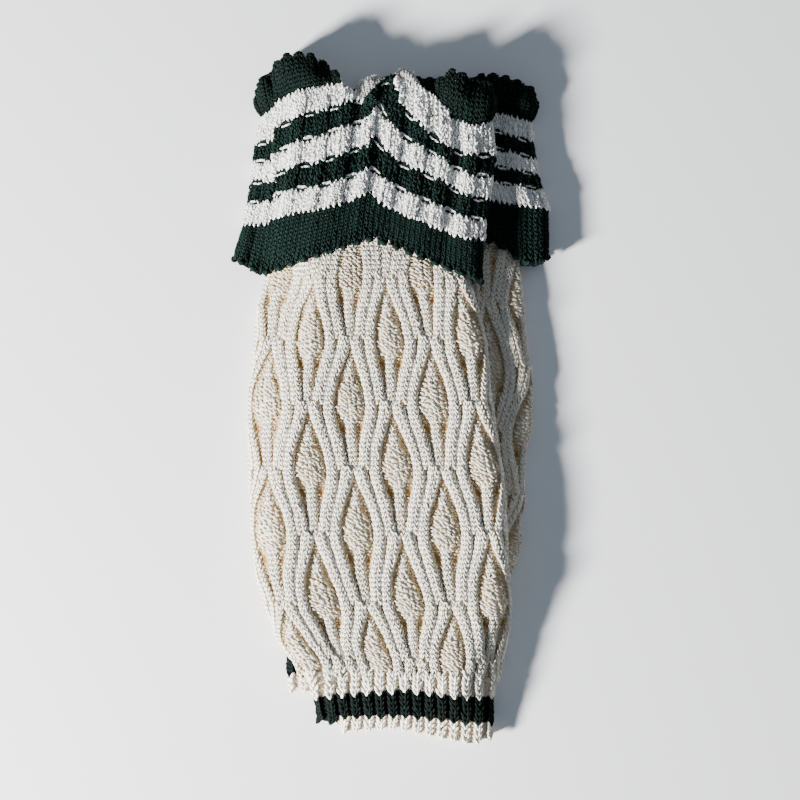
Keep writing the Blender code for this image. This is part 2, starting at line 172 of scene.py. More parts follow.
def on_lower_warmer(x, y):
    """Height of the surface that the upper warmer lies on."""
    span = DROOP_IN + DROOP_OUT
    left = ease((x - read(SUPPORT, "left", "y", y) + DROOP_OUT) / span)
    right = ease((read(SUPPORT, "right", "y", y) + DROOP_OUT - x) / span)
    hem = ease((y - DROOP_END_Y) / (DROOP_START_Y - DROOP_END_Y))
    return read(SUPPORT, "height", "y", y) * left * right * hem


def across(turn, left, right, edge):
    """X at a share of the way over the front, measured along the rounded folds."""
    quarter = edge * pi / 2
    flat = right - left - 2 * edge
    length = turn * (flat + 2 * quarter)
    rest = flat + 2 * quarter - length
    near = left + edge * (1 - np.cos(np.clip(length, 0, quarter) / edge))
    far = right - edge * (1 - np.cos(np.clip(rest, 0, quarter) / edge))
    middle = left + edge + length - quarter
    return np.where(length < quarter, near, np.where(rest < quarter, far, middle))


def fold_turn(turn):
    """Side of the tube, and the share across it, for a turn round it."""
    turn = np.mod(turn, 2)
    return np.where(turn <= 1, 1.0, -1.0), np.where(turn <= 1, turn, 2 - turn)


def wall_point(x, y, left, right, under, top, side, relief, base, edge=FOLD_WIDTH):
    """Points of a flattened tube: side is 1 on top and -1 underneath."""
    inward = np.clip(np.minimum(x - left, right - x) / edge, 0.0, 1.0)
    outward = 1 - inward
    upward = np.sqrt(np.maximum(0.0, 1 - outward * outward))
    sign = np.where(x - left < right - x, -1.0, 1.0)
    relief = np.where(side < 0, relief * np.maximum(0.0, 1 - 1.6 * upward), relief)
    z = (under + top) / 2 + side * upward * (top - under) / 2
    x_out = x + sign * outward * relief
    return np.stack([x_out, y + 0 * x, z + side * upward * relief + base(x, y)], -1)


def leg_point(warmer, turn, y, relief, names=("under", "top"), inset=0.0, edge=FOLD_WIDTH):
    """Points on the leg: turn goes round it, and y is the knitted row."""
    side, share = fold_turn(turn)
    leg = warmer["leg"]
    left = read(leg, "left", "y", y) + inset
    right = read(leg, "right", "y", y) - inset
    x = across(share, left, right, edge)
    row_y = y + read(leg, "tilt", "y", y) * x
    hidden = np.clip((y - 150) / 50, 0, 1)
    seam_y = read(warmer["seam"], "y", "x", x) - 2.5
    row_y = np.where(hidden > 0, blend(150, seam_y, hidden), row_y)
    under = read(LEG_WALL, names[0], "y", y)
    top = read(LEG_WALL, names[1], "y", y)
    return wall_point(x, row_y, left, right, under, top, side, relief, warmer["base"], edge)


def pattern_row(warmer, y):
    """How far the cable pattern has run at a height, counted in repeats."""
    return read(PATTERN_ROWS, "v", "y", y) + warmer["shift"]


def repeat_width(warmer, y):
    """Width of one repeat of the pattern, measured over the rounded folds."""
    leg = warmer["leg"]
    width = read(leg, "right", "y", y) - read(leg, "left", "y", y)
    return (width + FOLDS_EXTRA) / REPEATS_ON_FRONT


def strand_phase(index, v):
    """How far a strand has come from the stem that it starts at, from 0 to 1."""
    return np.mod(v + (0.5 if 2 <= index <= 5 else 0.0), 1)


def strand_place(index, phase):
    """Where a strand lies in the repeat: two start at either side of each stem."""
    reach = read(STRANDS, STRAND_SIDES[index], "phase", phase)
    middle = (0.0, 0.0, 0.5, 0.5, 0.5, 0.5, 1.0, 1.0)[index]
    return middle + reach * (1, 1, -1, -1, 1, 1, -1, -1)[index]


def from_leaves(place, v):
    """How far a place lies from the leaves of each of the two columns: across and down."""
    for gap, shift in ((0.0, 0.5), (0.5, 0.0)):
        yield np.mod(place - gap + 0.5, 1) - 0.5, np.mod(v - shift + 0.5, 1) - 0.5


def leg_relief(place, v):
    """Height of the cables and leaves at a place across the repeats, in the row v."""
    rise = 0 * place
    for index in range(0, 8, 2):
        phase = strand_phase(index, v)
        first = strand_place(index, phase)
        second = strand_place(index + 1, phase)
        half = (second - first) / 2 + STRAND_HALF
        off = np.mod(place - (first + second) / 2 + 0.5, 1) - 0.5
        rise = np.maximum(rise, STRAND_RISE * np.sqrt(np.maximum(0, 1 - (off / half) ** 2)))
    for off, down in from_leaves(place, v):
        half = read(LEAF, "half", "down", down)
        dome = read(LEAF, "rise", "down", down) * np.sqrt(np.maximum(0, 1 - (off / half) ** 2))
        rise = np.maximum(rise, dome)
    return rise


def slit_shadow(place, v):
    """1 inside the eyelets beside the leaf's foot and its stem, where their shadow is painted, 0
    elsewhere.
    """
    depth = 0 * place
    for off, down in from_leaves(place, v):
        for middle, side, tall, wide, lean in zip(*SLITS.values()):
            along = (down - middle) / tall
            sideways = (off - side - lean * (down - middle)) / wide
            depth = np.maximum(depth, ease(2.1 - 1.4 * np.hypot(along, sideways)))
    return depth


def join_rings(ring_a, ring_b, turns_a, turns_b):
    """Triangles between two closed rings with unlike numbers of points."""
    faces = []
    i = 0
    j = 0
    count_a = len(ring_a)
    count_b = len(ring_b)
    while i < count_a or j < count_b:
        next_a = turns_a[i + 1] if i + 1 < count_a else turns_a[0] + 2 if i < count_a else 9
        next_b = turns_b[j + 1] if j + 1 < count_b else turns_b[0] + 2 if j < count_b else 9
        a = ring_a[i % count_a]
        b = ring_b[j % count_b]
        if next_a <= next_b:
            faces.append((a, ring_a[(i + 1) % count_a], b))
            i += 1
        else:
            faces.append((a, ring_b[(j + 1) % count_b], b))
            j += 1
    return faces


def make_cloth(name, outer, inner, outer_turns, inner_turns, knit_uv, painted_shade, dye, material):
    """A closed knitted wall. Rings are rows of points; knit_uv counts stitches and rows."""
    rows, columns = outer.shape[:2]
    inner_rows, inner_columns = inner.shape[:2]
    points = np.concatenate([outer.reshape(-1, 3), inner.reshape(-1, 3)]) * MM
    start = rows * columns
    faces = []
    corners = []
    for r in range(rows - 1):
        for c in range(columns):
            after = (c + 1) % columns
            faces.append((r * columns + c, (r + 1) * columns + c,
                          (r + 1) * columns + after, r * columns + after))
            corners.append(((r, c), (r + 1, c), (r + 1, c + 1), (r, c + 1)))
    for r in range(inner_rows - 1):
        for c in range(inner_columns):
            after = (c + 1) % inner_columns
            faces.append((start + r * inner_columns + c, start + r * inner_columns + after,
                          start + (r + 1) * inner_columns + after,
                          start + (r + 1) * inner_columns + c))
            corners.append(None)
    for end, inner_end in ((0, 0), (rows - 1, inner_rows - 1)):
        ring_a = [end * columns + c for c in range(columns)]
        ring_b = [start + inner_end * inner_columns + c for c in range(inner_columns)]
        for face in join_rings(ring_a, ring_b, outer_turns, inner_turns):
            faces.append(face if end == 0 else face[::-1])
            corners.append(None)
    mesh = bpy.data.meshes.new(name)
    mesh.from_pydata(points.tolist(), [], faces)
    uv_layer = mesh.uv_layers.new(name="Knit")
    across_uv, along_uv = knit_uv
    values = np.zeros((len(mesh.loops), 2))
    loop = 0
    for face, corner in zip(faces, corners):
        for k in range(len(face)):
            if corner is not None:
                r, c = corner[k]
                values[loop] = (across_uv[c], along_uv[r])
            else:
                x, y = points[face[k]][:2] / MM
                values[loop] = (x / LEG_STITCH, y / LEG_STITCH)
            loop += 1
    uv_layer.data.foreach_set("uv", values.ravel())
    # The first attribute is painted shade, how far the wool is painted darker and tan; dye picks the
    # green.
    for label, outer_values in (("painted_shade", painted_shade), ("dye", dye)):
        attribute = mesh.attributes.new(label, "FLOAT", "POINT")
        inside = np.full(len(points) - start, outer_values[-1, -1])
        full = np.concatenate([outer_values.ravel(), inside])
        attribute.data.foreach_set("value", full)
    mesh.materials.append(material)
    mesh.shade_smooth()
    mesh.update()
    piece = bpy.data.objects.new(name, mesh)
    bpy.context.scene.collection.objects.link(piece)
    return piece


def leg_surface(warmer):
    """The leg's outer face as a function of the turn and the height."""
    return lambda turn, y: leg_point(warmer, turn, y, cable_rise(warmer, turn, y))


def wales(surface, turn, along, next_turn, next_along):
    """The frames of stitches on a surface: place, run down the wale, side and outward."""
    here = surface(turn, along)
    step = surface(next_turn, next_along) - here
    step /= np.linalg.norm(step, axis=-1, keepdims=True)
    aside = surface(turn + 0.001, along) - surface(turn - 0.001, along)
    aside /= np.linalg.norm(aside, axis=-1, keepdims=True)
    out = np.cross(step, aside)
    out /= np.linalg.norm(out, axis=-1, keepdims=True)
    return here, step, aside, out


V_ANGLE = radians(27)
V_OVERLAP = 1.08
V_GIRTH = 0.22
V_APART = 0.22
STITCH_LIFT = 0.3
TABLE_CLEARANCE = 1.7


def for_each(here, *values):
    """Each value as one number for every stitch."""
    return [value + 0.0 * here[:, 0] for value in values]


def v_stitches(frames, width, length, plump, dye, painted_shade, random, loose=0.12):
    """Two legs of yarn for each stitch, leaning in to make a V down the wale."""
    here, step, aside, out = frames
    width, length, plump, dye, painted_shade = for_each(here, width, length, plump, dye, painted_shade)
    parts = []
    for lean in (-1, 1):
        swing = V_ANGLE + random.normal(0, loose * 0.5, len(here))[:, None]
        run = step * np.cos(swing) - lean * aside * np.sin(swing)
        place = here + aside * (lean * width * V_APART)[:, None]
        place = place + out * (plump * STITCH_LIFT)[:, None]
        place += random.normal(0, loose, place.shape)
        girth = np.stack([plump, width * V_GIRTH, length * V_OVERLAP], -1)
        girth *= 1 + random.normal(0, 0.05, (len(here), 1))
        parts.append((place, run, out, girth, dye, painted_shade))
    return [np.concatenate(columns) for columns in zip(*parts)]


def purl_bumps(frames, slant, reach, girth_side, plump, dye, painted_shade, random):
    """One bump of yarn for each stitch, lying across the wale."""
    here, step, aside, out = frames
    reach, girth_side, plump, dye, painted_shade = for_each(here, reach, girth_side, plump, dye, painted_shade)
    turn = slant + random.normal(0, 0.10, len(here))
    run = aside * np.cos(turn)[:, None] - step * np.sin(turn)[:, None]
    place = here + out * (plump * STITCH_LIFT)[:, None] + random.normal(0, 0.12, here.shape)
    girth = np.stack([plump, girth_side, reach], -1)
    girth *= 1 + random.normal(0, 0.06, (len(here), 1))
    return [place, run, out, girth, dye, painted_shade]


def stitch_tree():
    """Geometry nodes that lay a teardrop of yarn on each point of a mesh."""
    tree = bpy.data.node_groups.new("yarn_stitches", "GeometryNodeTree")
    face = tree.interface
    face.new_socket("Stitches", in_out="INPUT", socket_type="NodeSocketGeometry")
    face.new_socket("Sides", in_out="INPUT", socket_type="NodeSocketInt")
    face.new_socket("Taper", in_out="INPUT", socket_type="NodeSocketFloat")
    face.new_socket("Yarn", in_out="INPUT", socket_type="NodeSocketMaterial")
    face.new_socket("Knitting", in_out="OUTPUT", socket_type="NodeSocketGeometry")

    def node(kind, settings=(), sockets=()):
        made = tree.nodes.new(kind)
        for key, value in dict(settings).items():
            setattr(made, key, value)
        for key, value in dict(sockets).items():
            if isinstance(value, bpy.types.NodeSocket):
                tree.links.new(value, made.inputs[key])
            else:
                made.inputs[key].default_value = value
        return made

    given = node("NodeGroupInput")
    grain = node("GeometryNodeMeshUVSphere", (), {"Segments": given.outputs["Sides"], "Rings": 4,
                                                  "Radius": 1.0})
    spot = node("GeometryNodeInputPosition")
    apart = node("ShaderNodeSeparateXYZ", (), {"Vector": spot.outputs[0]})
    slope = node("ShaderNodeMath", {"operation": "MULTIPLY_ADD"},
                 {0: apart.outputs["Z"], 1: given.outputs["Taper"], 2: 1.0})
    flat = node("ShaderNodeVectorMath", {"operation": "SCALE"},
                {0: spot.outputs[0], "Scale": slope.outputs[0]})
    kept = node("ShaderNodeSeparateXYZ", (), {"Vector": flat.outputs[0]})
    drop = node("ShaderNodeCombineXYZ", (), {"X": kept.outputs["X"], "Y": kept.outputs["Y"],
                                             "Z": apart.outputs["Z"]})
    tapered = node("GeometryNodeSetPosition", (), {"Geometry": grain.outputs["Mesh"],
                                                   "Position": drop.outputs[0]})
    marked = node("GeometryNodeStoreNamedAttribute", {"data_type": "FLOAT_VECTOR"},
                  {"Geometry": tapered.outputs[0], "Name": "ply", "Value": spot.outputs[0]})
    run = node("GeometryNodeInputNamedAttribute", {"data_type": "FLOAT_VECTOR"}, {"Name": "run"})
    out = node("GeometryNodeInputNamedAttribute", {"data_type": "FLOAT_VECTOR"}, {"Name": "out"})
    girth = node("GeometryNodeInputNamedAttribute", {"data_type": "FLOAT_VECTOR"},
                 {"Name": "girth"})
    turned = node("FunctionNodeAxesToRotation", {"primary_axis": "Z", "secondary_axis": "X"},
                  {"Primary Axis": run.outputs[0], "Secondary Axis": out.outputs[0]})
    laid = node("GeometryNodeInstanceOnPoints", (),
                {"Points": given.outputs["Stitches"], "Instance": marked.outputs[0],
                 "Rotation": turned.outputs[0], "Scale": girth.outputs[0]})
    real = node("GeometryNodeRealizeInstances", (), {"Geometry": laid.outputs[0]})
    smooth = node("GeometryNodeSetShadeSmooth", (), {0: real.outputs[0]})
    dyed = node("GeometryNodeSetMaterial", (), {"Geometry": smooth.outputs[0],
                                                "Material": given.outputs["Yarn"]})
    node("NodeGroupOutput", (), {0: dyed.outputs[0]})
    return tree


STITCH_TREE = stitch_tree()


def make_stitches(name, parts, material, sides=5, taper=0.22):
    """One mesh of all the yarn stitches in the given parts."""
    columns = [np.concatenate(column) for column in zip(*parts)]
    clear = columns[0][:, 2] > TABLE_CLEARANCE
    place, run, out, girth, dye, painted_shade = [column[clear] for column in columns]
    cloud = bpy.data.meshes.new(name + "_points")
    cloud.from_pydata((place * MM).tolist(), [], [])
    for label, values in (("run", run), ("out", out), ("girth", girth * MM)):
        cloud.attributes.new(label, "FLOAT_VECTOR", "POINT").data.foreach_set(
            "vector", values.ravel())
    tone = np.random.default_rng(len(dye)).normal(0, 1, len(dye))
    # Besides the dye, each stitch carries how much painted shade it gets, and tone, a random real
    # tone.
    for label, values in (("dye", dye), ("painted_shade", painted_shade), ("tone", tone)):
        cloud.attributes.new(label, "FLOAT", "POINT").data.foreach_set("value", values)
    holder = bpy.data.objects.new(name + "_points", cloud)
    bpy.context.scene.collection.objects.link(holder)
    modifier = holder.modifiers.new("stitches", "NODES")
    modifier.node_group = STITCH_TREE
    ids = {item.name: item.identifier for item in STITCH_TREE.interface.items_tree}
    modifier[ids["Sides"]] = sides
    modifier[ids["Taper"]] = taper
    modifier[ids["Yarn"]] = material
    bpy.context.view_layer.update()
    seen = holder.evaluated_get(bpy.context.evaluated_depsgraph_get())
    mesh = bpy.data.meshes.new_from_object(seen)
    mesh.name = name
    bpy.data.objects.remove(holder)
    piece = bpy.data.objects.new(name, mesh)
    bpy.context.scene.collection.objects.link(piece)
    return piece


class Value:
    """A shader socket that works in sums like a number."""

    def __init__(self, paint, socket):
        self.paint = paint
        self.socket = socket

    def math(self, operation, *others):
        sockets = dict(enumerate((self, *others)))
        return self.paint.value(self.paint.node("ShaderNodeMath", {"operation": operation},
                                                sockets))

    def __add__(self, other):
        return self.math("ADD", other)

    def __sub__(self, other):
        return self.math("SUBTRACT", other)

    def __rsub__(self, other):
        return self.math("MULTIPLY", -1.0).math("ADD", other)

    def __mul__(self, other):
        return self.math("MULTIPLY", other)

    def __pow__(self, other):
        return self.math("POWER", other)

    __radd__ = __add__
    __rmul__ = __mul__


class Paint:
    """A material with its shader tree."""

    def __init__(self, name):
        self.material = bpy.data.materials.new(name)
        self.material.use_nodes = True
        self.tree = self.material.node_tree
        self.shader = self.tree.nodes["Principled BSDF"]

    def node(self, kind, settings=(), sockets=()):
        made = self.tree.nodes.new(kind)
        for key, value in dict(settings).items():
            setattr(made, key, value)
        for key, value in dict(sockets).items():
            self.feed(made.inputs[key], value)
        return made

    def feed(self, target, value):
        if isinstance(value, Value):
            self.tree.links.new(value.socket, target)
        else:
            target.default_value = value

    def value(self, node, output=0):
        return Value(self, node.outputs[output])

    def attribute(self, name):
        return self.value(self.node("ShaderNodeAttribute", {"attribute_name": name}), "Fac")

    def vector(self, name):
        return self.value(self.node("ShaderNodeAttribute", {"attribute_name": name}), "Vector")

    def noise(self, scale, detail, where):
        return self.value(self.node("ShaderNodeTexNoise", (), {"Scale": scale, "Detail": detail,
                                                               "Vector": where}), 0)

    def mix(self, share, a, b, how="MIX"):
        sockets = {0: share, 6: a if isinstance(a, Value) else (*a, 1.0),
                   7: b if isinstance(b, Value) else (*b, 1.0)}
        return self.value(self.node("ShaderNodeMix", {"data_type": "RGBA", "blend_type": how},
                                    sockets), 2)


TONE_SPREAD = 0.09
PLY_TURNS = 6.0
LOOP_SHADE = 0.45
BUMP_STRENGTH = 0.7
BUMP_DISTANCE = 0.0009
FUZZ_SHARE = 0.35
WOOL_ROUGHNESS = 0.80
WOOL_SPECULAR = 0.12
SHEEN_ROUGHNESS = 0.5
CREAM_SHEEN = 0.15
FUZZ_SCALE = 2600.0
MOTTLE_SCALE = 55.0


def wool(name, light, dyed, shade_colour, deep_shade_colour, knit_bump, sheen=0.0):
    """Wool yarn: light or dyed by the dye attribute, with painted shade that is warmer and darker down
    in the knit.
    """
    paint = Paint(name)
    where = paint.value(paint.node("ShaderNodeTexCoord"), "Object")
    dye = paint.attribute("dye")
    painted_shade = paint.attribute("painted_shade")
    if knit_bump:
        uv = paint.node("ShaderNodeUVMap", {"uv_map": "Knit"})
        parts = paint.node("ShaderNodeSeparateXYZ", (), {0: paint.value(uv)})
        wale = paint.value(parts, 0).math("FRACT") - 0.5
        lean = wale.math("ABSOLUTE")
        course = paint.value(parts, 1) + lean * 0.9
        ridge = (course * pi).math("SINE").math("ABSOLUTE")
        leg = (lean * 4 - 1).math("ABSOLUTE")
        height = (1 - leg * leg) * 0.6 + ridge * 0.6
        dye = dye + (lean - 0.25) * 0.9
        shade = 1 - height * LOOP_SHADE
    else:
        ply = paint.node("ShaderNodeSeparateXYZ", (), {0: paint.vector("ply")})
        angle = paint.value(ply, 1).math("ARCTAN2", paint.value(ply, 0))
        twist = (angle * 2 + paint.value(ply, 2) * PLY_TURNS).math("SINE")
        height = twist * 0.5 + 0.5
        # Painted shade: the side of each grain that faces into the knit and the grooves between the
        # plies are painted darker; tone adds a random real variation.
        sunk_shade = (0.45 - paint.value(ply, 0)).math("MAXIMUM", 0.0).math("MINIMUM", 1.0)
        shade = (1 - height) * 0.22 + sunk_shade * 0.9 + paint.attribute("tone") * TONE_SPREAD
    dyed_share = dye.math("GREATER_THAN", 0.5)
    mottle = paint.noise(MOTTLE_SCALE, 3.0, where)
    light_tone = paint.mix(mottle, [c * 0.93 for c in light], [min(1, c * 1.06) for c in light])
    # Painted shade: the pale wool is mixed toward its shade colour down in the knit, and toward the
    # deeper shade colour where the attribute passes 1.
    down = painted_shade.math("MINIMUM", 1.0)
    light_tone = paint.mix(down, light_tone, shade_colour)
    shade = shade.math("MAXIMUM", 0.0)
    light_tone = paint.mix((shade * 0.6).math("MINIMUM", 1.0), light_tone, shade_colour)
    light_tone = paint.mix((painted_shade - 1.0).math("MAXIMUM", 0.0), light_tone, deep_shade_colour)
    dyed_tone = paint.mix(mottle, [c * 0.7 for c in dyed], [c * 1.5 for c in dyed])
    # Painted shade: dyed wool darkens to near black in the same places.
    dyed_tone = paint.mix(shade.math("MINIMUM", 1.0), dyed_tone, [c * 0.12 for c in dyed])
    colour = paint.mix(dyed_share, light_tone, dyed_tone)
    paint.feed(paint.shader.inputs["Base Color"], colour)
    fuzz = paint.noise(FUZZ_SCALE, 2.0, where)
    bump = paint.node("ShaderNodeBump", (), {"Strength": BUMP_STRENGTH,
                                             "Distance": BUMP_DISTANCE,
                                             "Height": height + fuzz * FUZZ_SHARE})
    paint.feed(paint.shader.inputs["Normal"], paint.value(bump))
    for socket, value in (("Roughness", WOOL_ROUGHNESS), ("Sheen Weight", sheen),
                          ("Sheen Roughness", SHEEN_ROUGHNESS),
                          ("Specular IOR Level", WOOL_SPECULAR)):
        paint.shader.inputs[socket].default_value = value
    return paint.material


GREEN = (0.0030, 0.0132, 0.0097)
leg_cloth_wool = wool("cream_cloth", CREAM, GREEN, CREAM_SHADE, SLIT_SHADOW_BROWN, True, CREAM_SHEEN)
leg_yarn = wool("cream_yarn", CREAM, GREEN, CREAM_SHADE, SLIT_SHADOW_BROWN, False, CREAM_SHEEN)

UPPER = {"name": "upper", "leg": UPPER_LEG, "seam": UPPER_SEAM, "base": on_lower_warmer,
         "offset": 0.26, "shift": 0.0, "lowest": -182.0, "shown": (-0.045, 1.045),
         "rests_on": ["lower_leg_cloth"]}
LOWER = {"name": "lower", "leg": LOWER_LEG, "seam": LOWER_SEAM, "base": on_table,
         "offset": 0.45, "shift": 0.3, "lowest": -154.0, "shown": (0.60, 1.045),
         "rests_on": ["floor"]}
LEG_TOP = 200.0
LEG_LEFT = -92.0
LEG_ACROSS = 165.0
LEG_COLUMNS = 200
LEG_COLUMNS_UNDER = 42
LEG_ROW_STEP = 2.4
KNIT_SHOWS_FROM = 112.0
# Painted shade given to the cloth on the leg's underside.
UNDERSIDE_SHADE = 0.15


def cable_rise(warmer, turn, y):
    """Height of the cables and leaves over the leg's plain cloth, round the tube."""
    v = pattern_row(warmer, y)
    rise = leg_relief(turn * REPEATS_ON_FRONT - warmer["offset"], v)
    for x, at_y, wide, tall, depth in zip(*LEG_CREASES.values()):
        off = turn * LEG_ACROSS + LEG_LEFT - x
        spot = (off / wide) ** 2 + ((y - at_y) / tall) ** 2
        rise = rise + depth * np.exp(-spot)
    on_top = (turn > -FOLD_REACH) & (turn <= 1 + FOLD_REACH)
    return np.where(on_top, rise, 0.0) * read(LEG_WALL, "relief", "y", y)


def leg_cloth(warmer):
    """The leg's wall, with the cables and leaves raised on its upper side."""
    rows = np.concatenate([[LEG_TOP, 185, 168, 150, 130, 118],
                           np.arange(KNIT_SHOWS_FROM, warmer["lowest"], -LEG_ROW_STEP),
                           [warmer["lowest"]]])
    over = np.linspace(-FOLD_REACH, 1 + FOLD_REACH, LEG_COLUMNS)
    back = np.linspace(1 + FOLD_REACH, 2 - FOLD_REACH, LEG_COLUMNS_UNDER)[1:-1]
    turns = np.concatenate([over, back])
    turn, y = np.meshgrid(turns, rows)
    v = pattern_row(warmer, y)
    relief = cable_rise(warmer, turn, y)
    outer = leg_point(warmer, turn, y, relief)
    inner_rows = np.concatenate([[LEG_TOP, 150, 106, 90, 76, 56],
                                 np.linspace(40, warmer["lowest"], 22)])
    inner_turns = np.arange(40) / 20
    inner_turn, inner_y = np.meshgrid(inner_turns, inner_rows)
    thickness = read(LEG_WALL, "inner_under", "y", inner_y) - read(LEG_WALL, "under", "y", inner_y)
    inner = leg_point(warmer, inner_turn, inner_y, 0.0, ("inner_under", "inner_top"), thickness,
                      FOLD_WIDTH / 2)
    # Painted shade: the cloth is painted tan down between the cables and leaves and painted shadow
    # brown inside the eyelets; the underside gets a little painted shade.
    slits = slit_shadow(turn * REPEATS_ON_FRONT - warmer["offset"], v)
    painted_shade = np.clip(1.35 - relief / STRAND_RISE, 0, 1) + slits
    painted_shade = np.where(turn <= 1 + FOLD_REACH, painted_shade, UNDERSIDE_SHADE)
    across_uv = np.append(turns, turns[0] + 2) * REPEATS_ON_FRONT * STITCHES_IN_REPEAT
    return make_cloth(warmer["name"] + "_leg_cloth", outer, inner, turns, inner_turns,
                      (across_uv, rows / LEG_STITCH), painted_shade, painted_shade * 0, leg_cloth_wool)


def leg_wales(warmer, random):
    """The V stitches of the cables, one wale for each strand."""
    parts = []
    whole_y = np.arange(KNIT_SHOWS_FROM, warmer["lowest"] - 5, -LEG_STITCH)
    low, high = warmer["shown"]
    surface = leg_surface(warmer)
    for repeat in range(-1, REPEATS_ON_FRONT + 1):
        for index in range(8):
            y = whole_y[whole_y > warmer["lowest"] + 1.0 - random.uniform(0, WALE_PAST_LOWEST)]
            v = pattern_row(warmer, y)
            next_v = pattern_row(warmer, y - 1.0)
            phase = strand_phase(index, v)
            place = strand_place(index, phase)
            after_index = (index + 1) % 8
            after = strand_place(after_index, strand_phase(after_index, v)) + (index == 7)
            before_index = (index - 1) % 8
            before = strand_place(before_index, strand_phase(before_index, v)) - (index == 0)
            width = (np.clip(after - place, *WALE_WIDTHS)
                     + np.clip(place - before, *WALE_WIDTHS)) / 2
            turn = (repeat + place + warmer["offset"]) / REPEATS_ON_FRONT
            next_phase = np.minimum(phase + next_v - v, 1.0)
            next_turn = (repeat + strand_place(index, next_phase) + warmer["offset"])
            next_turn = next_turn / REPEATS_ON_FRONT
            kept = (turn > low) & (turn < high)
            if not kept.any():
                continue
            frames = wales(surface, turn[kept], y[kept], next_turn[kept], y[kept] - 1.0)
            spread = (width * repeat_width(warmer, y))[kept] * 0.97
            parts.append(v_stitches(frames, spread, LEG_STITCH, WALE_PLUMP, 0.0, 0.0, random))
    return parts


def leg_leaves(warmer, random):
    """The leaves' slanting grains, the neck above each leaf and the wales of its stem."""
    parts = []
    low, high = warmer["shown"]
    row_v = PATTERN_ROWS["v"][::-1] + warmer["shift"]
    row_y = PATTERN_ROWS["y"][::-1]
    surface = leg_surface(warmer)

    def seen(turn, y, v):
        inside = (turn > low) & (turn < high) & (y < KNIT_SHOWS_FROM) & (y > warmer["lowest"] + 2)
        return inside & (v > row_v[0]) & (v < row_v[-1])

    grain_long, grain_wide = LEAF_GRAIN
    lattice = [((a + 0.5 * (b % 2)) * grain_long, b * grain_wide)
               for a in range(-8, 9) for b in range(-14, 15)]
    along, over = np.array(lattice).T
    aside_mm = along * cos(LEAF_SLANT) - over * sin(-LEAF_SLANT)
    down_mm = along * sin(-LEAF_SLANT) + over * cos(LEAF_SLANT)
    for number in range(-3, 8):
        middle_v = number * 0.5
        gap = 0.5 if number % 2 == 0 else 0.0
        middle_y = np.interp(middle_v, row_v, row_y)
        wide = repeat_width(warmer, middle_y)
        for repeat in range(-1, REPEATS_ON_FRONT + 1):
            off = (aside_mm + random.normal(0, 0.45, len(along))) / wide
            down = (down_mm + random.normal(0, 0.35, len(along))) / V_LENGTH
            half = read(LEAF, "half", "down", down)
            turn = (repeat + gap + off + warmer["offset"]) / REPEATS_ON_FRONT
            y = np.interp(middle_v + down, row_v, row_y)
            kept = (np.abs(off) < half - LEAF_MARGIN) & (down > LEAF_TOP) & (down < LEAF_FOOT)
            kept &= seen(turn, y, middle_v + down)
            if kept.any():
                frames = wales(surface, turn[kept], y[kept], turn[kept], y[kept] - 1.0)
                edge = off[kept] / half[kept]
                # Painted shade: grains toward the leaf's right side, which turns away from the light,
                # are painted tan.
                grain_shade = 0.04 + 0.42 * np.clip(edge, 0, 1)
                slant = LEAF_SLANT + radians(16) * (0.3 - edge) + random.normal(0, 0.16, len(edge))
                long = grain_long * random.uniform(0.42, 0.62, len(edge))
                parts.append(purl_bumps(frames, slant, long, 0.85, 1.25, 0.0, grain_shade, random))
            for start, stop, offs in STEM_WALES:
                down = np.arange(start, stop, LEG_STITCH / V_LENGTH)
                y = np.interp(middle_v + down, row_v, row_y)
                for off in offs:
                    turn = (repeat + gap + off + warmer["offset"]) / REPEATS_ON_FRONT + 0 * down
                    kept = seen(turn, y, middle_v + down)
                    if kept.any():
                        frames = wales(surface, turn[kept], y[kept], turn[kept], y[kept] - 1.0)
                        # The stem's wales get a little painted shade.
                        parts.append(v_stitches(frames, STEM_WIDE, LEG_STITCH, 0.9, 0.0, 0.05,
                                                random))
    return parts


def leg_ground(warmer, random):
    """Sunk purl bumps of the plain ground that shows between the cables, painted tan as shade."""
    parts = []
    low, high = warmer["shown"]
    ends = [warmer["leg"][side][len(warmer["leg"]["y"]) // 2] for side in ("left", "right")]
    columns = int((ends[1] - ends[0]) * (high - low) / GROUND_WIDE)
    surface = leg_surface(warmer)
    for number, y in enumerate(np.arange(KNIT_SHOWS_FROM, warmer["lowest"] + 1.5, -GROUND_TALL)):
        turn = low + (np.arange(columns) + 0.5 * (number % 2)) * (high - low) / columns
        height = y + 0 * turn
        v = pattern_row(warmer, height)
        slits = slit_shadow(turn * REPEATS_ON_FRONT - warmer["offset"], v)
        low_place = cable_rise(warmer, turn, height) < GROUND_BELOW
        turn = turn[low_place & (slits < GROUND_CLEAR_OF_SLIT)]
        if len(turn):
            height = y + 0 * turn
            frames = wales(surface, turn, height, turn, height - 1.0)
            # Painted shade: the ground bumps are painted tan, as the cream wool looks in shade down
            # between the cables.
            grain_shade = GROUND_SHADE_TAN + random.normal(0, 0.12, len(turn))
            parts.append(purl_bumps(frames, 0.0, 1.25, 0.8, 0.8, 0.0, grain_shade, random))
    return parts


def flat_cut(widths, lengths):
    """Width, length and area of a tube's cloth, cut open and laid out flat, in metres."""
    widths = np.array(widths) * MM
    lengths = np.array(lengths) * MM
    area = float(np.sum((widths[1:] + widths[:-1]) / 2 * np.abs(np.diff(lengths))))
    return (float(widths.max()), float(abs(lengths[-1] - lengths[0]))), area


LEG_KNITTING = (("_leg_cables", leg_wales, 5), ("_leg_leaves", leg_leaves, 5),
                ("_leg_ground", leg_ground, 4))

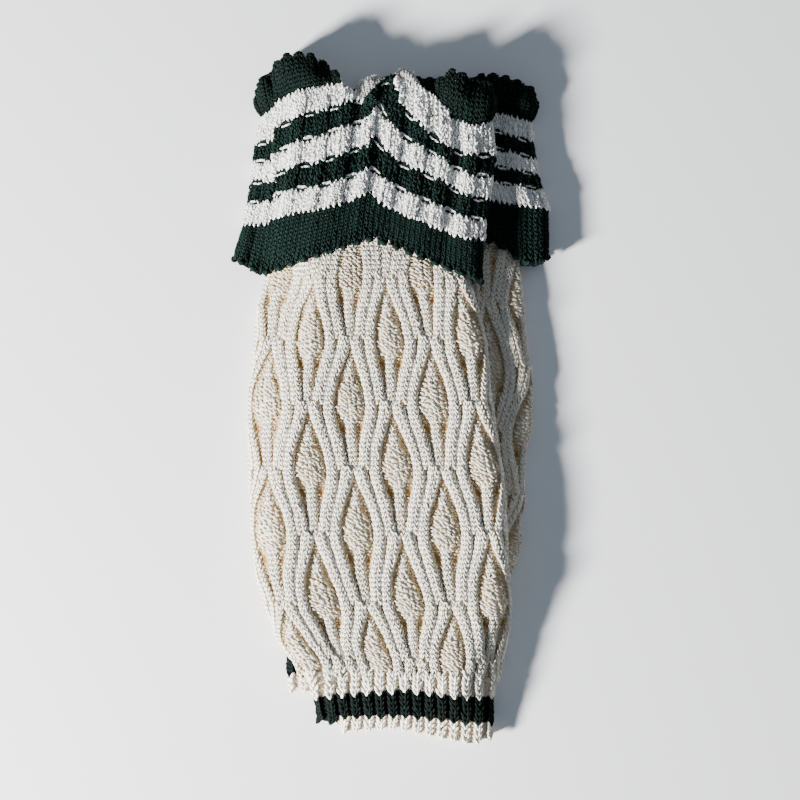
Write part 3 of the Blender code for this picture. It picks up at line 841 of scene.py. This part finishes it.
for warmer in (LOWER, UPPER):
    knitter = np.random.default_rng(7 if warmer is UPPER else 8)
    cloth = leg_cloth(warmer)
    knitted = [make_stitches(warmer["name"] + part, stitches(warmer, knitter), leg_yarn, sides)
               for part, stitches, sides in LEG_KNITTING]
    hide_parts(warmer["name"] + "_leg")
    outline = warmer["leg"]
    span = 2 * (outline["right"] - outline["left"] + (pi - 2) * FOLD_WIDTH)
    cut, cut_area = flat_cut(np.append(span, span[-1]), np.append(outline["y"], LEG_TOP))
    for piece in (cloth, *knitted):
        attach(piece, "root")

# The cuff: a zigzag-striped tube turned down over the top of the leg. White and dark green
# rows meet in broad ribs, where two purl stitches in five show the other colour as dashes.
CUFF_COLUMNS = 50
CUFF_STITCH = 2.4
DASH_COLUMNS = (1, 2)
PICOTS = 20
PICOT_LOOP = (2.7, 2.1, 1.7)
HEM_PICOT_HALF = 2.9
FRILL_PICOT_HALF = 2.3
WHITE = (0.93, 0.91, 0.875)
# Painted shade colour of the white wool down in the knit; the green goes to near black there.
WHITE_SHADE = (0.60, 0.57, 0.52)
RIB_RISE = 1.6
CUFF_LEFT = -90.0
CUFF_ACROSS = 160.0
CUFF_CREASES = table(
    "x wide depth",
    (-78, 3.0, -1.8), (-62, 5.0, 0.9), (-46, 5.5, -2.0), (-30, 6.0, 0.7), (-11, 2.5, 0.9),
    (8, 6.0, -0.8), (27, 6.0, 0.8), (44, 5.0, -1.3))

UPPER_CUFF = (
    UPPER_SEAM,
    table("x y", (-89, 173), (-77.8, 174.5), (-76.5, 183.5), (-68.5, 186), (-60.5, 190),
          (-51, 191.5), (-42.5, 194), (-34.5, 195.5), (-28, 199.5), (-21.5, 199), (-16.5, 199.5),
          (-11, 205.5), (-5.5, 211.5), (0, 214), (3, 214.5), (4.5, 205), (6.5, 198), (11.5, 190),
          (20, 185), (23.5, 178), (30.5, 173), (37, 169), (46, 164), (54, 163), (62.5, 163),
          (67, 164)),
    table("x y", (-90.5, 161), (-78.5, 160.2), (-77.2, 166.5), (-68.5, 169), (-59, 173.5),
          (-48.5, 175.3), (-39.5, 178.5), (-29.5, 182.5), (-20, 185), (-12.7, 190.7),
          (-9.5, 199), (-5.5, 192.7), (-3, 187.5), (2, 181.7), (9, 175.5), (16, 170.5),
          (22.5, 167), (33, 162), (39, 156), (47.5, 153.3), (54, 148.5), (60, 149.8), (65.5, 149)),
    table("x y", (-92, 147.3), (-78.5, 146.5), (-77.2, 151.7), (-68.5, 154.2), (-60.5, 157),
          (-51, 157.5), (-42.5, 160.5), (-34, 163), (-26.5, 166), (-16.5, 169), (-12.3, 176),
          (-6.5, 169), (0.5, 163.7), (4.7, 158.5), (12.5, 154.5), (20, 153), (25, 149.3),
          (34.5, 146.5), (41.5, 140.7), (49, 137), (57, 133.8), (63.5, 134.5)),
    table("x y", (-94.5, 133), (-80, 133.8), (-77.5, 137), (-72.5, 138.7), (-60.5, 141.5),
          (-52, 141.5), (-41, 143.7), (-31, 147), (-23, 150), (-14, 154.5), (-9, 151),
          (-3, 146.5), (5.5, 140.7), (13.5, 137), (22.5, 133), (32, 129.4), (40.5, 125.3),
          (51, 121), (61, 120.5)),
    table("x y", (-98.5, 118.4), (-82, 118.4), (-80, 121.5), (-68.5, 124), (-52.5, 126.5),
          (-41, 128.3), (-28, 132.3), (-13.5, 139), (-9, 133), (1.5, 127), (11.5, 122.6),
          (20, 119.3), (30.5, 115), (39, 110.8), (51, 108), (60, 107.3)),
    table("x y", (-105, 97.5), (-86.5, 86.5), (-49, 98), (-12, 109.5), (24, 95.5),
          (59.5, 81)))

LOWER_CUFF = (
    LOWER_SEAM,
    table("x y", (-57.5, 172), (-48, 175), (-15, 185), (22, 196), (69.5, 182), (93, 174)),
    table("x y", (-58.5, 160), (-48, 163), (-15, 173), (22, 184), (69.5, 170), (95, 163)),
    table("x y", (-59, 147), (-48, 150), (-15, 160), (22, 171), (69.5, 158), (96, 152)),
    table("x y", (-60, 136), (-49, 139), (-15, 149), (22, 160), (69.5, 147), (99.5, 142)),
    table("x y", (-61, 123), (-50, 126), (-15, 136), (22, 146), (69.5, 134), (104.5, 129)),
    table("x y", (-62.5, 98), (-50, 99.5), (-15, 109), (22, 119), (69.5, 108), (80, 102), (87, 94.5),
          (98, 93.5), (105, 98.5)))

CUFF_WALL = table(
    "down under inner_under inner_top top",
    (0.0, 0.0, 2.7, 9.4, 12.1), (0.5, 0.0, 2.7, 9.9, 12.6), (1.0, 0.0, 2.7, 11.4, 14.1))


def no_tooth(turn, course):
    return 0.0 * turn


def band_point(band, turn, course, relief, names=("under", "top"), inset=0.0, edge=FOLD_WIDTH):
    """Points on a band of cloth between lines: course 0 is the first line, 1 the next."""
    side, share = fold_turn(turn)
    lines = band["lines"]
    index = np.clip(np.floor(course).astype(int), 0, len(lines) - 2)
    part = course - index
    lefts = np.array([line["x"][0] for line in lines]) + inset
    rights = np.array([line["x"][-1] for line in lines]) - inset
    warped = read(band["steady"], "first", "share", share) if "steady" in band else share
    x_all = np.array([across(warped if number == 0 else share, lefts[number], rights[number], edge)
                      for number in range(len(lines))])
    y_all = np.array([read(line, "y", "x", x) for line, x in zip(lines, x_all)])
    x_here = np.take_along_axis(x_all, index[None], 0)[0]
    x_next = np.take_along_axis(x_all, index[None] + 1, 0)[0]
    y_here = np.take_along_axis(y_all, index[None], 0)[0]
    y_next = np.take_along_axis(y_all, index[None] + 1, 0)[0]
    x = blend(x_here, x_next, part)
    y = blend(y_here, y_next, part) + band["tooth"](turn, course)
    left = blend(lefts[index], lefts[index + 1], part)
    right = blend(rights[index], rights[index + 1], part)
    key = band["key"]
    reach = blend(band["reach"][0], band["reach"][1], course / (len(lines) - 1))
    under = read(band["wall"], names[0], key, reach)
    top = read(band["wall"], names[1], key, reach)
    return wall_point(x, y, left, right, under, top, side, relief, band["base"], edge)


def band_surface(band, relief):
    """A band's outer face as a function of the turn and the course."""
    return lambda turn, course: band_point(band, turn, course, relief(turn, course))


def creases(table_of_creases, x):
    """Soft troughs and ridges that run down the cloth."""
    rise = 0 * x
    for middle, wide, depth in zip(*table_of_creases.values()):
        rise = rise + depth * np.exp(-((x - middle) / wide) ** 2)
    return rise


def front_creases(rows, share, left=CUFF_LEFT):
    """Creases at a share across the front, faded out at the folds."""
    return creases(rows, left + CUFF_ACROSS * share) * np.clip(np.minimum(share, 1 - share) * 12, 0, 1)


def cuff_relief(turn, course):
    """Ribs of three knit wales between two purl wales, and the cuff's creases."""
    side, share = fold_turn(turn)
    on_top = side > 0
    wale = np.mod(turn * CUFF_COLUMNS - 4.5, 5) / 5
    rib = RIB_RISE * ease(0.5 + 0.9 * np.cos(2 * pi * wale)) * np.clip(course * 2, 0.35, 1)
    return np.where(on_top, rib + front_creases(CUFF_CREASES, share) + 0.3, 0.0)


def band_cloth(name, band, courses, relief, dye, stitches_round, row_pitch, material,
               top_columns=120, back_columns=80, sunk_shade=0.55):
    """A band's wall; relief and dye are functions of the turn and the course."""
    over = np.linspace(-FOLD_REACH, 1 + FOLD_REACH, top_columns)
    back = np.linspace(1 + FOLD_REACH, 2 - FOLD_REACH, back_columns)[1:-1]
    turns = np.concatenate([over, back])
    turn, course = np.meshgrid(turns, courses)
    rise = relief(turn, course)
    outer = band_point(band, turn, course, rise)
    inner_turns = np.arange(80) / 40
    inner_turn, inner_course = np.meshgrid(inner_turns, courses[::3] if len(courses) % 3 == 1 else
                                           np.append(courses[::3], courses[-1]))
    thickness = read(band["wall"], "inner_under", band["key"], 0.0)
    inner = band_point(band, inner_turn, inner_course, 0.0, ("inner_under", "inner_top"),
                       thickness, FOLD_WIDTH / 2)
    # Painted shade: the cloth under the stitches is painted darker, by the given share on top and a
    # little underneath.
    painted_shade = np.where(turn <= 1 + FOLD_REACH, sunk_shade, 0.1)
    across_uv = np.append(turns, turns[0] + 2) * stitches_round
    along_uv = courses * row_pitch
    return make_cloth(name, outer, inner, turns, inner_turns, (across_uv, along_uv), painted_shade,
                      dye(turn, course), material)


GREEN_OVER_TOP = (0.465, 0.585)


def stripe_dye(turn, course):
    """1 where a stripe is green: the second and fourth, and the first one's middle."""
    middle = (course < 1) & (turn > GREEN_OVER_TOP[0]) & (turn < GREEN_OVER_TOP[1])
    return np.where((np.mod(np.floor(course), 2) == 1) | middle, 1.0, 0.0)


cuff_cloth_wool = wool("striped_cloth", WHITE, GREEN, WHITE_SHADE, WHITE_SHADE, True)
cuff_yarn = wool("striped_yarn", WHITE, GREEN, WHITE_SHADE, WHITE_SHADE, False)
ROWS_IN_STRIPE = (8, 6, 8, 6, 8)


def band_row(band, course, relief, columns, low, high, dye, length, dash, random, loose=0.3):
    """One row of knitting round a band. Where dash is given, its purl wales take that dye."""
    column = np.arange(int(low * columns), int(high * columns) + 1)
    turn = (column + 0.5) / columns
    at = course + 0 * turn
    surface = band_surface(band, relief)
    frames = wales(surface, turn, at, turn, at + 0.04)
    wide = surface(turn + 0.5 / columns, at) - surface(turn - 0.5 / columns, at)
    width = np.linalg.norm(wide, axis=-1)
    dye = dye(turn, at) if callable(dye) else dye + 0 * turn
    purl = np.isin(np.mod(column, 5), DASH_COLUMNS) & (dash is not None)
    knit = ~purl
    picked = [part[knit] for part in frames]
    parts = [v_stitches(picked, width[knit] * 0.96, length, 1.0, dye[knit], 0.0, random, loose)]
    if purl.any():
        picked = [part[purl] for part in frames]
        # The purl bumps sit lower and get a little painted shade.
        parts.append(purl_bumps(picked, 0.0, width[purl] * 0.75, 0.85, 0.95, dash, 0.1, random))
    return parts


def cuff_rows():
    """The cuff's rows: the course, and the dye that shows in the purl wales."""
    rows = []
    for stripe, count in enumerate(ROWS_IN_STRIPE):
        dye = float(stripe % 2)
        for k in range(count):
            at_start = k == 0 and stripe > 0
            at_end = k == count - 1 and stripe < len(ROWS_IN_STRIPE) - 1
            rows.append((stripe + (k + 0.5) / count, 1 - dye if at_start or at_end else None))
    return rows


SHOWN = {"upper": (-0.045, 1.045), "lower": (0.45, 1.045)}


def band_widths(band):
    """Distance round the tube at each of a band's lines."""
    return [2 * (line["x"][-1] - line["x"][0] + (pi - 2) * FOLD_WIDTH) for line in band["lines"]]


def finish_band(name, band, cloth, stitches, node):
    """Hides the band's node, works out its flat cut and puts its pieces on the root body."""
    middles = [float(np.mean(line["y"])) for line in band["lines"]]
    cut, cut_area = flat_cut(band_widths(band), middles)
    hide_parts(node)
    for piece in (cloth, stitches):
        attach(piece, "root")


for warmer, lines in ((LOWER, LOWER_CUFF), (UPPER, UPPER_CUFF)):
    name = warmer["name"]
    knitter = np.random.default_rng(11 if warmer is UPPER else 12)
    cuff = {"lines": lines[:-1], "wall": CUFF_WALL, "key": "down", "reach": (0, 5 / 6),
            "base": warmer["base"], "tooth": no_tooth}
    cloth = band_cloth(name + "_cuff_cloth", cuff, np.linspace(0, 5, 41), cuff_relief,
                       stripe_dye, CUFF_COLUMNS, 7.2, cuff_cloth_wool, 220)
    low, high = SHOWN[name]
    parts = []
    for course, dash in cuff_rows():
        parts += band_row(cuff, course, cuff_relief, CUFF_COLUMNS, low, high, stripe_dye,
                          CUFF_STITCH, dash, knitter)
    stitches = make_stitches(name + "_cuff_stitches", parts, cuff_yarn)
    finish_band(name, cuff, cloth, stitches, name + "_cuff")

# The picot hem: the last rows of the cuff in dark green stocking stitch, turned up at a row
# of eyelets, so that its edge stands in small points.
SEAM_GAP = 0.3


def picots(reach):
    """Rounded points along a band's free edge: they reach up it, or down where negative."""
    def tooth(turn, course):
        point = 1 - 2 * (1 - np.abs(np.cos(pi * turn * PICOTS))) ** 1.5
        return reach * point * ease((course - 0.75) * 4)
    return tooth


green_cloth_wool = wool("green_cloth", WHITE, GREEN, WHITE_SHADE, WHITE_SHADE, True)
green_yarn = wool("green_yarn", WHITE, GREEN, WHITE_SHADE, WHITE_SHADE, False)
HEM_ROWS = 12
HEM_STITCH = 2.5


def hem_relief(turn, course):
    side, share = fold_turn(turn)
    fold = front_creases(CUFF_CREASES, share) * (1 - 0.4 * course)
    return np.where(side > 0, fold + 0.5, 0.0)


def picot_tips(band, relief, low, high, course, dye, random):
    """A plump loop at the tip of each picot."""
    count = np.arange(int(low * PICOTS), int(high * PICOTS) + 1)
    turn = count / PICOTS
    at = course + 0 * turn
    frames = wales(band_surface(band, relief), turn, at - 0.04, turn, at)
    dye = dye(turn, at) if callable(dye) else dye
    return purl_bumps(frames, 0.0, *PICOT_LOOP, dye, 0.0, random)


def shifted(line, distance):
    return {"x": line["x"], "y": line["y"] + distance}


for warmer, lines in ((LOWER, LOWER_CUFF), (UPPER, UPPER_CUFF)):
    name = warmer["name"]
    knitter = np.random.default_rng(21 if warmer is UPPER else 22)
    hem = {"lines": (shifted(lines[-2], -SEAM_GAP), lines[-1]), "wall": CUFF_WALL, "key": "down",
           "reach": (5 / 6, 1), "base": warmer["base"], "tooth": picots(-HEM_PICOT_HALF)}
    cloth = band_cloth(name + "_hem_cloth", hem, np.linspace(0, 1, 13), hem_relief,
                       lambda t, c: 1 + 0 * t, CUFF_COLUMNS, HEM_ROWS, green_cloth_wool, 200, 160)
    low, high = SHOWN[name]
    parts = []
    for k in range(HEM_ROWS):
        parts += band_row(hem, (k + 0.5) / HEM_ROWS, hem_relief, CUFF_COLUMNS, low, high, 1.0,
                          HEM_STITCH, None, knitter, 0.12)
    parts.append(picot_tips(hem, hem_relief, low, high, 1.0, 1.0, knitter))
    stitches = make_stitches(name + "_hem_stitches", parts, green_yarn)
    finish_band(name, hem, cloth, stitches, name + "_picot_hem")

# The frill: the cuff's other edge, a dark green picot ruffle that stands above the seam. Its
# sides puff up as two ears, and its middle is turned in, with the white side rolled over it.
FRILL_LEFT = -91.0
EAR_PUFF = 1.2
FRILL_WAVE = 0.6
FRILL_ROWS = 9
ROLL_DROP = 5.5
# Painted shade: the white rolls face away from the light and are painted grey-blue as shade.
ROLL_SHADE = 1.5
ROLL_SHADE_GREY = (0.34, 0.345, 0.36)
# Painted shade: the frill's green is the same yarn painted darker, as the frill lies in shade.
FRILL_GREEN_SHADED = tuple(0.7 * c for c in GREEN)
WHITE_ROLLS = ((0.352, 0.533), (0.582, 0.685))
PLAIN_EDGE = (0.355, 0.72)
FRILL_CREASES = table(
    "x wide depth",
    (-83, 4.0, 1.4), (-77.5, 2.2, -2.6), (-66, 9.0, 4.0), (-44, 8.0, -4.2), (-14, 6.5, 3.4),
    (-1, 3.0, -1.5), (10, 6.5, 4.0), (24, 5.5, -3.6), (42, 8.0, 4.4), (60, 7.0, 1.6))

UPPER_FRILL = table(
    "x y",
    (-91, 201), (-89.8, 212), (-84, 218.5), (-79.8, 220.5), (-77.5, 226), (-70.5, 229.5),
    (-62, 230.5), (-53, 229), (-47, 226), (-41.5, 222), (-37, 217.5), (-33, 211), (-24.5, 206),
    (-21.5, 212), (-15, 216.2), (-8, 217), (-4, 214.8), (1.5, 216.6), (4, 219.5), (9, 221.8),
    (14, 219.5), (18, 213.5), (21, 209.6), (26, 205.5), (30, 210.5), (34, 215), (41.5, 219),
    (47, 216), (53, 213.5), (60, 212), (66.5, 209.5), (69, 201))

LOWER_FRILL = table(
    "x y",
    (-62, 194), (-60, 198), (-38, 202), (-15, 203), (-4, 209), (10, 218), (29, 217), (50, 216),
    (66, 218.5), (84, 214), (96, 208), (98, 199))

FRILL_WALL = table(
    "up under inner_under inner_top top",
    (0.0, 0.0, 3.2, 7.0, 12.1), (0.5, 0.4, 3.2, 5.6, 12.0), (1.0, 1.5, 3.4, 4.4, 10.6))


# The frill's wool: the green painted darker as shade, and grey as shade where the white rolls over.
frill_cloth_wool = wool("frill_cloth", WHITE, FRILL_GREEN_SHADED, WHITE_SHADE, ROLL_SHADE_GREY, True)
frill_yarn = wool("frill_yarn", WHITE, FRILL_GREEN_SHADED, WHITE_SHADE, ROLL_SHADE_GREY, False)


def frill_relief(turn, course):
    """The frill puffs between its seam and its edge, with waves and listed hollows."""
    side, share = fold_turn(turn)
    wave = FRILL_WAVE * (1 + np.cos(2 * pi * turn * 8)) * course
    fold = front_creases(FRILL_CREASES, share, FRILL_LEFT) * ease(course * 1.6)
    rolled = np.where(rolled_white(turn), ROLL_DROP * ease((course - 0.1) * 1.3), 0.0)
    return wave + EAR_PUFF * np.sin(pi * course) + np.where(side > 0, fold - rolled, 0.0)


def frill_edge(turn, course):
    """Picots, but none where the frill is turned in."""
    side, share = fold_turn(turn)
    plain = (share > PLAIN_EDGE[0]) & (share < PLAIN_EDGE[1])
    return np.where(plain, 0.0, picots(FRILL_PICOT_HALF)(turn, course))


def rolled_white(turn):
    """True where the upper frill is turned in and the white side rolls over its edge."""
    return sum((turn > start) & (turn < stop) for start, stop in WHITE_ROLLS) > 0


for warmer, lines, edge_line in ((LOWER, LOWER_CUFF, LOWER_FRILL), (UPPER, UPPER_CUFF, UPPER_FRILL)):
    name = warmer["name"]
    knitter = np.random.default_rng(31 if warmer is UPPER else 32)
    frill = {"lines": (shifted(lines[0], SEAM_GAP), edge_line), "wall": FRILL_WALL, "key": "up",
             "reach": (0, 1), "base": warmer["base"], "tooth": frill_edge}

    def frill_dye(turn, course):
        white = rolled_white(turn) & (warmer is UPPER)
        return np.where(white, 0.0, 1.0)

    cloth = band_cloth(name + "_frill_cloth", frill, np.linspace(0, 1, 13), frill_relief,
                       frill_dye, CUFF_COLUMNS, FRILL_ROWS, frill_cloth_wool, 200, 160)
    low, high = SHOWN[name]
    surface = band_surface(frill, frill_relief)
    parts = []
    for k in range(FRILL_ROWS):
        course = (k + 0.5) / FRILL_ROWS
        column = np.arange(int(low * CUFF_COLUMNS), int(high * CUFF_COLUMNS) + 1)
        turn = (column + 0.5) / CUFF_COLUMNS
        at = course + 0 * turn
        frames = wales(surface, turn, at, turn, at - 0.05)
        width = np.linalg.norm(surface(turn + 0.01, at) - surface(turn - 0.01, at), axis=-1)
        tall = np.linalg.norm(surface(turn, at + 0.05) - surface(turn, at - 0.05), axis=-1)
        tall = np.clip(tall * 10 / FRILL_ROWS, 0.8, 2.9) * (0.6 if k == FRILL_ROWS - 1 else 1)
        # Painted shade on the white rolls' stitches.
        painted_shade = np.where(rolled_white(turn), ROLL_SHADE, 0.0)
        parts.append(v_stitches(frames, width, tall, np.minimum(1.0, tall * 0.5),
                                frill_dye(turn, at), painted_shade, knitter))
    parts.append(picot_tips(frill, frill_relief, low, high, 1.0, frill_dye, knitter))
    stitches = make_stitches(name + "_frill_stitches", parts, frill_yarn)
    finish_band(name, frill, cloth, stitches, name + "_frill")

# The ankle rib: knit two, purl two, in the leg's cream wool with one dark green band, and a
# loose cast-on edge.
ANKLE_RIBS = 15
ANKLE_RIB_RISE = 1.2

UPPER_ANKLE = (
    table("x y", (-60.5, -179.8), (-30, -181.1), (5, -182.7), (40, -184.3), (70.5, -185.5)),
    table("x y", (-49, -199), (-33, -196.5), (10, -193), (43.5, -198), (66, -199.5)),
    table("x y", (-47, -212), (-33, -211.5), (6, -211), (36, -213.5), (66, -217)),
    table("x y", (-48, -214), (-35, -215), (-31.5, -222), (-15, -220), (4, -219), (36, -227),
          (54, -230.5), (65.5, -226.5)))
STEADY_RIBS = table("share first", (0, 0), (0.06, 0.14), (0.94, 0.915), (1, 1))

LOWER_ANKLE = (
    table("x y", (-72, -154.6), (-4, -154.6), (65.5, -154.6)),
    table("x y", (-68, -169.5), (-6, -169.5), (56, -169.5)),
    table("x y", (-67.5, -184), (-8, -184), (51, -184)),
    table("x y", (-67, -195), (-8, -195.5), (50, -195)))

ANKLE_WALL = table(
    "down under inner_under inner_top top",
    (0.0, 0.0, 3.2, 6.4, 9.4), (1.0, 0.0, 2.8, 5.8, 8.6))

ANKLE_ROWS = (4, 5, 3)
ANKLE_STITCH = (6.0, 3.9, 1.6)
# Painted shade: the ankle's green band is the same yarn painted darker, as it gets less light.
ANKLE_GREEN_SHADED = tuple(0.4 * c for c in GREEN)

ankle_cloth_wool = wool("ankle_cloth", CREAM, ANKLE_GREEN_SHADED, CREAM_SHADE, SLIT_SHADOW_BROWN, True)
ankle_yarn = wool("ankle_yarn", CREAM, ANKLE_GREEN_SHADED, CREAM_SHADE, SLIT_SHADOW_BROWN, False)


def ankle_relief(turn, course):
    off = np.mod(turn * ANKLE_RIBS - 0.53 + 0.5, 1) - 0.5
    rise = ANKLE_RIB_RISE * 1.3 * np.clip(1.35 - (off / 0.36) ** 2, 0, 1)
    return np.where(turn <= 1 + FOLD_REACH, rise, 0.0)


def ankle_dye(turn, course):
    return np.where((course >= 1) & (course < 2), 1.0, 0.0)


def tucked_dye(turn, course):
    """The upper warmer's corner is tucked under, so the green band hides the hem there."""
    tucked = (course >= 2) & ((turn < 0.13) | (turn > 2 - FOLD_REACH))
    return np.where(tucked, 1.0, ankle_dye(turn, course))


for warmer, lines in ((LOWER, LOWER_ANKLE), (UPPER, UPPER_ANKLE)):
    name = warmer["name"]
    knitter = np.random.default_rng(41 if warmer is UPPER else 42)
    ankle = {"lines": lines, "wall": ANKLE_WALL, "key": "down", "reach": (0, 1),
             "base": warmer["base"], "tooth": no_tooth, "steady": STEADY_RIBS}
    dye = tucked_dye if warmer is UPPER else ankle_dye
    cloth = band_cloth(name + "_ankle_cloth", ankle, np.linspace(0, 3, 25), ankle_relief,
                       dye, 4 * ANKLE_RIBS, 6, ankle_cloth_wool, 200, 60, 0.3)
    surface = band_surface(ankle, ankle_relief)
    parts = []
    courses = [band + (k + 0.5) / count for band, count in enumerate(ANKLE_ROWS)
               for k in range(count)]
    for course in [-0.12, *courses]:
        turn = (np.arange(ANKLE_RIBS) + 0.53) / ANKLE_RIBS
        at = course + 0 * turn
        if course < 0:
            at = at + knitter.uniform(-0.1, 0.06, len(at))
        frames = wales(surface, turn, at, turn, at + 0.05)
        parts.append(v_stitches(frames, *ANKLE_STITCH, dye(turn, at), 0.0, knitter, 0.2))
        for wale in (-0.07, 0.13):
            turn = (np.arange(ANKLE_RIBS) + wale) / ANKLE_RIBS
            turn = turn[turn > -0.04]
            at = course + 0 * turn
            frames = wales(surface, turn, at, turn, at + 0.05)
            # The purl bumps sit lower and get a little painted shade.
            parts.append(purl_bumps(frames, 0.0, 1.1, 1.0, 0.9, dye(turn, at), 0.15, knitter))
    stitches = make_stitches(name + "_ankle_stitches", parts, ankle_yarn)
    finish_band(name, ankle, cloth, stitches, name + "_ankle_rib")

# The table top, the light and the camera: a plain pale surface under a low soft light from
# the lower left, seen from straight above.
FIELD = 0.536
LENS = 85.0
SENSOR = 36.0
VIEW_HEIGHT = 0.015
AIM = (0.006, 0.0007)
FLOOR_SIZE = 4.0
FLOOR_DROP = 0.0003
FLOOR_GREY = 0.93
ROOM_COLOUR = (0.58, 0.77, 1.0)
ROOM_LIGHT = 0.19

bpy.ops.mesh.primitive_plane_add(size=FLOOR_SIZE, location=(0, 0, -FLOOR_DROP))
floor = bpy.context.object
floor.name = "floor"
paint = Paint("table_top")
paint.shader.inputs["Base Color"].default_value = (FLOOR_GREY, FLOOR_GREY, FLOOR_GREY, 1)
paint.shader.inputs["Roughness"].default_value = 0.8
floor.data.materials.append(paint.material)

lights = table("x y z size power", (-1.6, -0.85, 0.78, 0.32, 226.0), (0.9, 0.7, 1.7, 1.6, 4.0))
for number in range(2):
    data = bpy.data.lights.new(f"light_{number}", "AREA")
    data.size = lights["size"][number]
    data.energy = lights["power"][number]
    lamp = bpy.data.objects.new(f"light_{number}", data)
    lamp.location = [lights[axis][number] for axis in "xyz"]
    lamp.rotation_euler = (-lamp.location).to_track_quat("-Z", "Y").to_euler()
    bpy.context.scene.collection.objects.link(lamp)

world = bpy.data.worlds.new("soft_room")
bpy.context.scene.world = world
world.use_nodes = True
background = world.node_tree.nodes["Background"]
background.inputs["Color"].default_value = (*ROOM_COLOUR, 1)
background.inputs["Strength"].default_value = ROOM_LIGHT

camera_data = bpy.data.cameras.new("camera")
camera_data.lens = LENS
camera_data.sensor_width = SENSOR
camera = bpy.data.objects.new("camera", camera_data)
camera.location = (*AIM, VIEW_HEIGHT + FIELD * LENS / SENSOR)
bpy.context.scene.collection.objects.link(camera)
bpy.context.scene.camera = camera
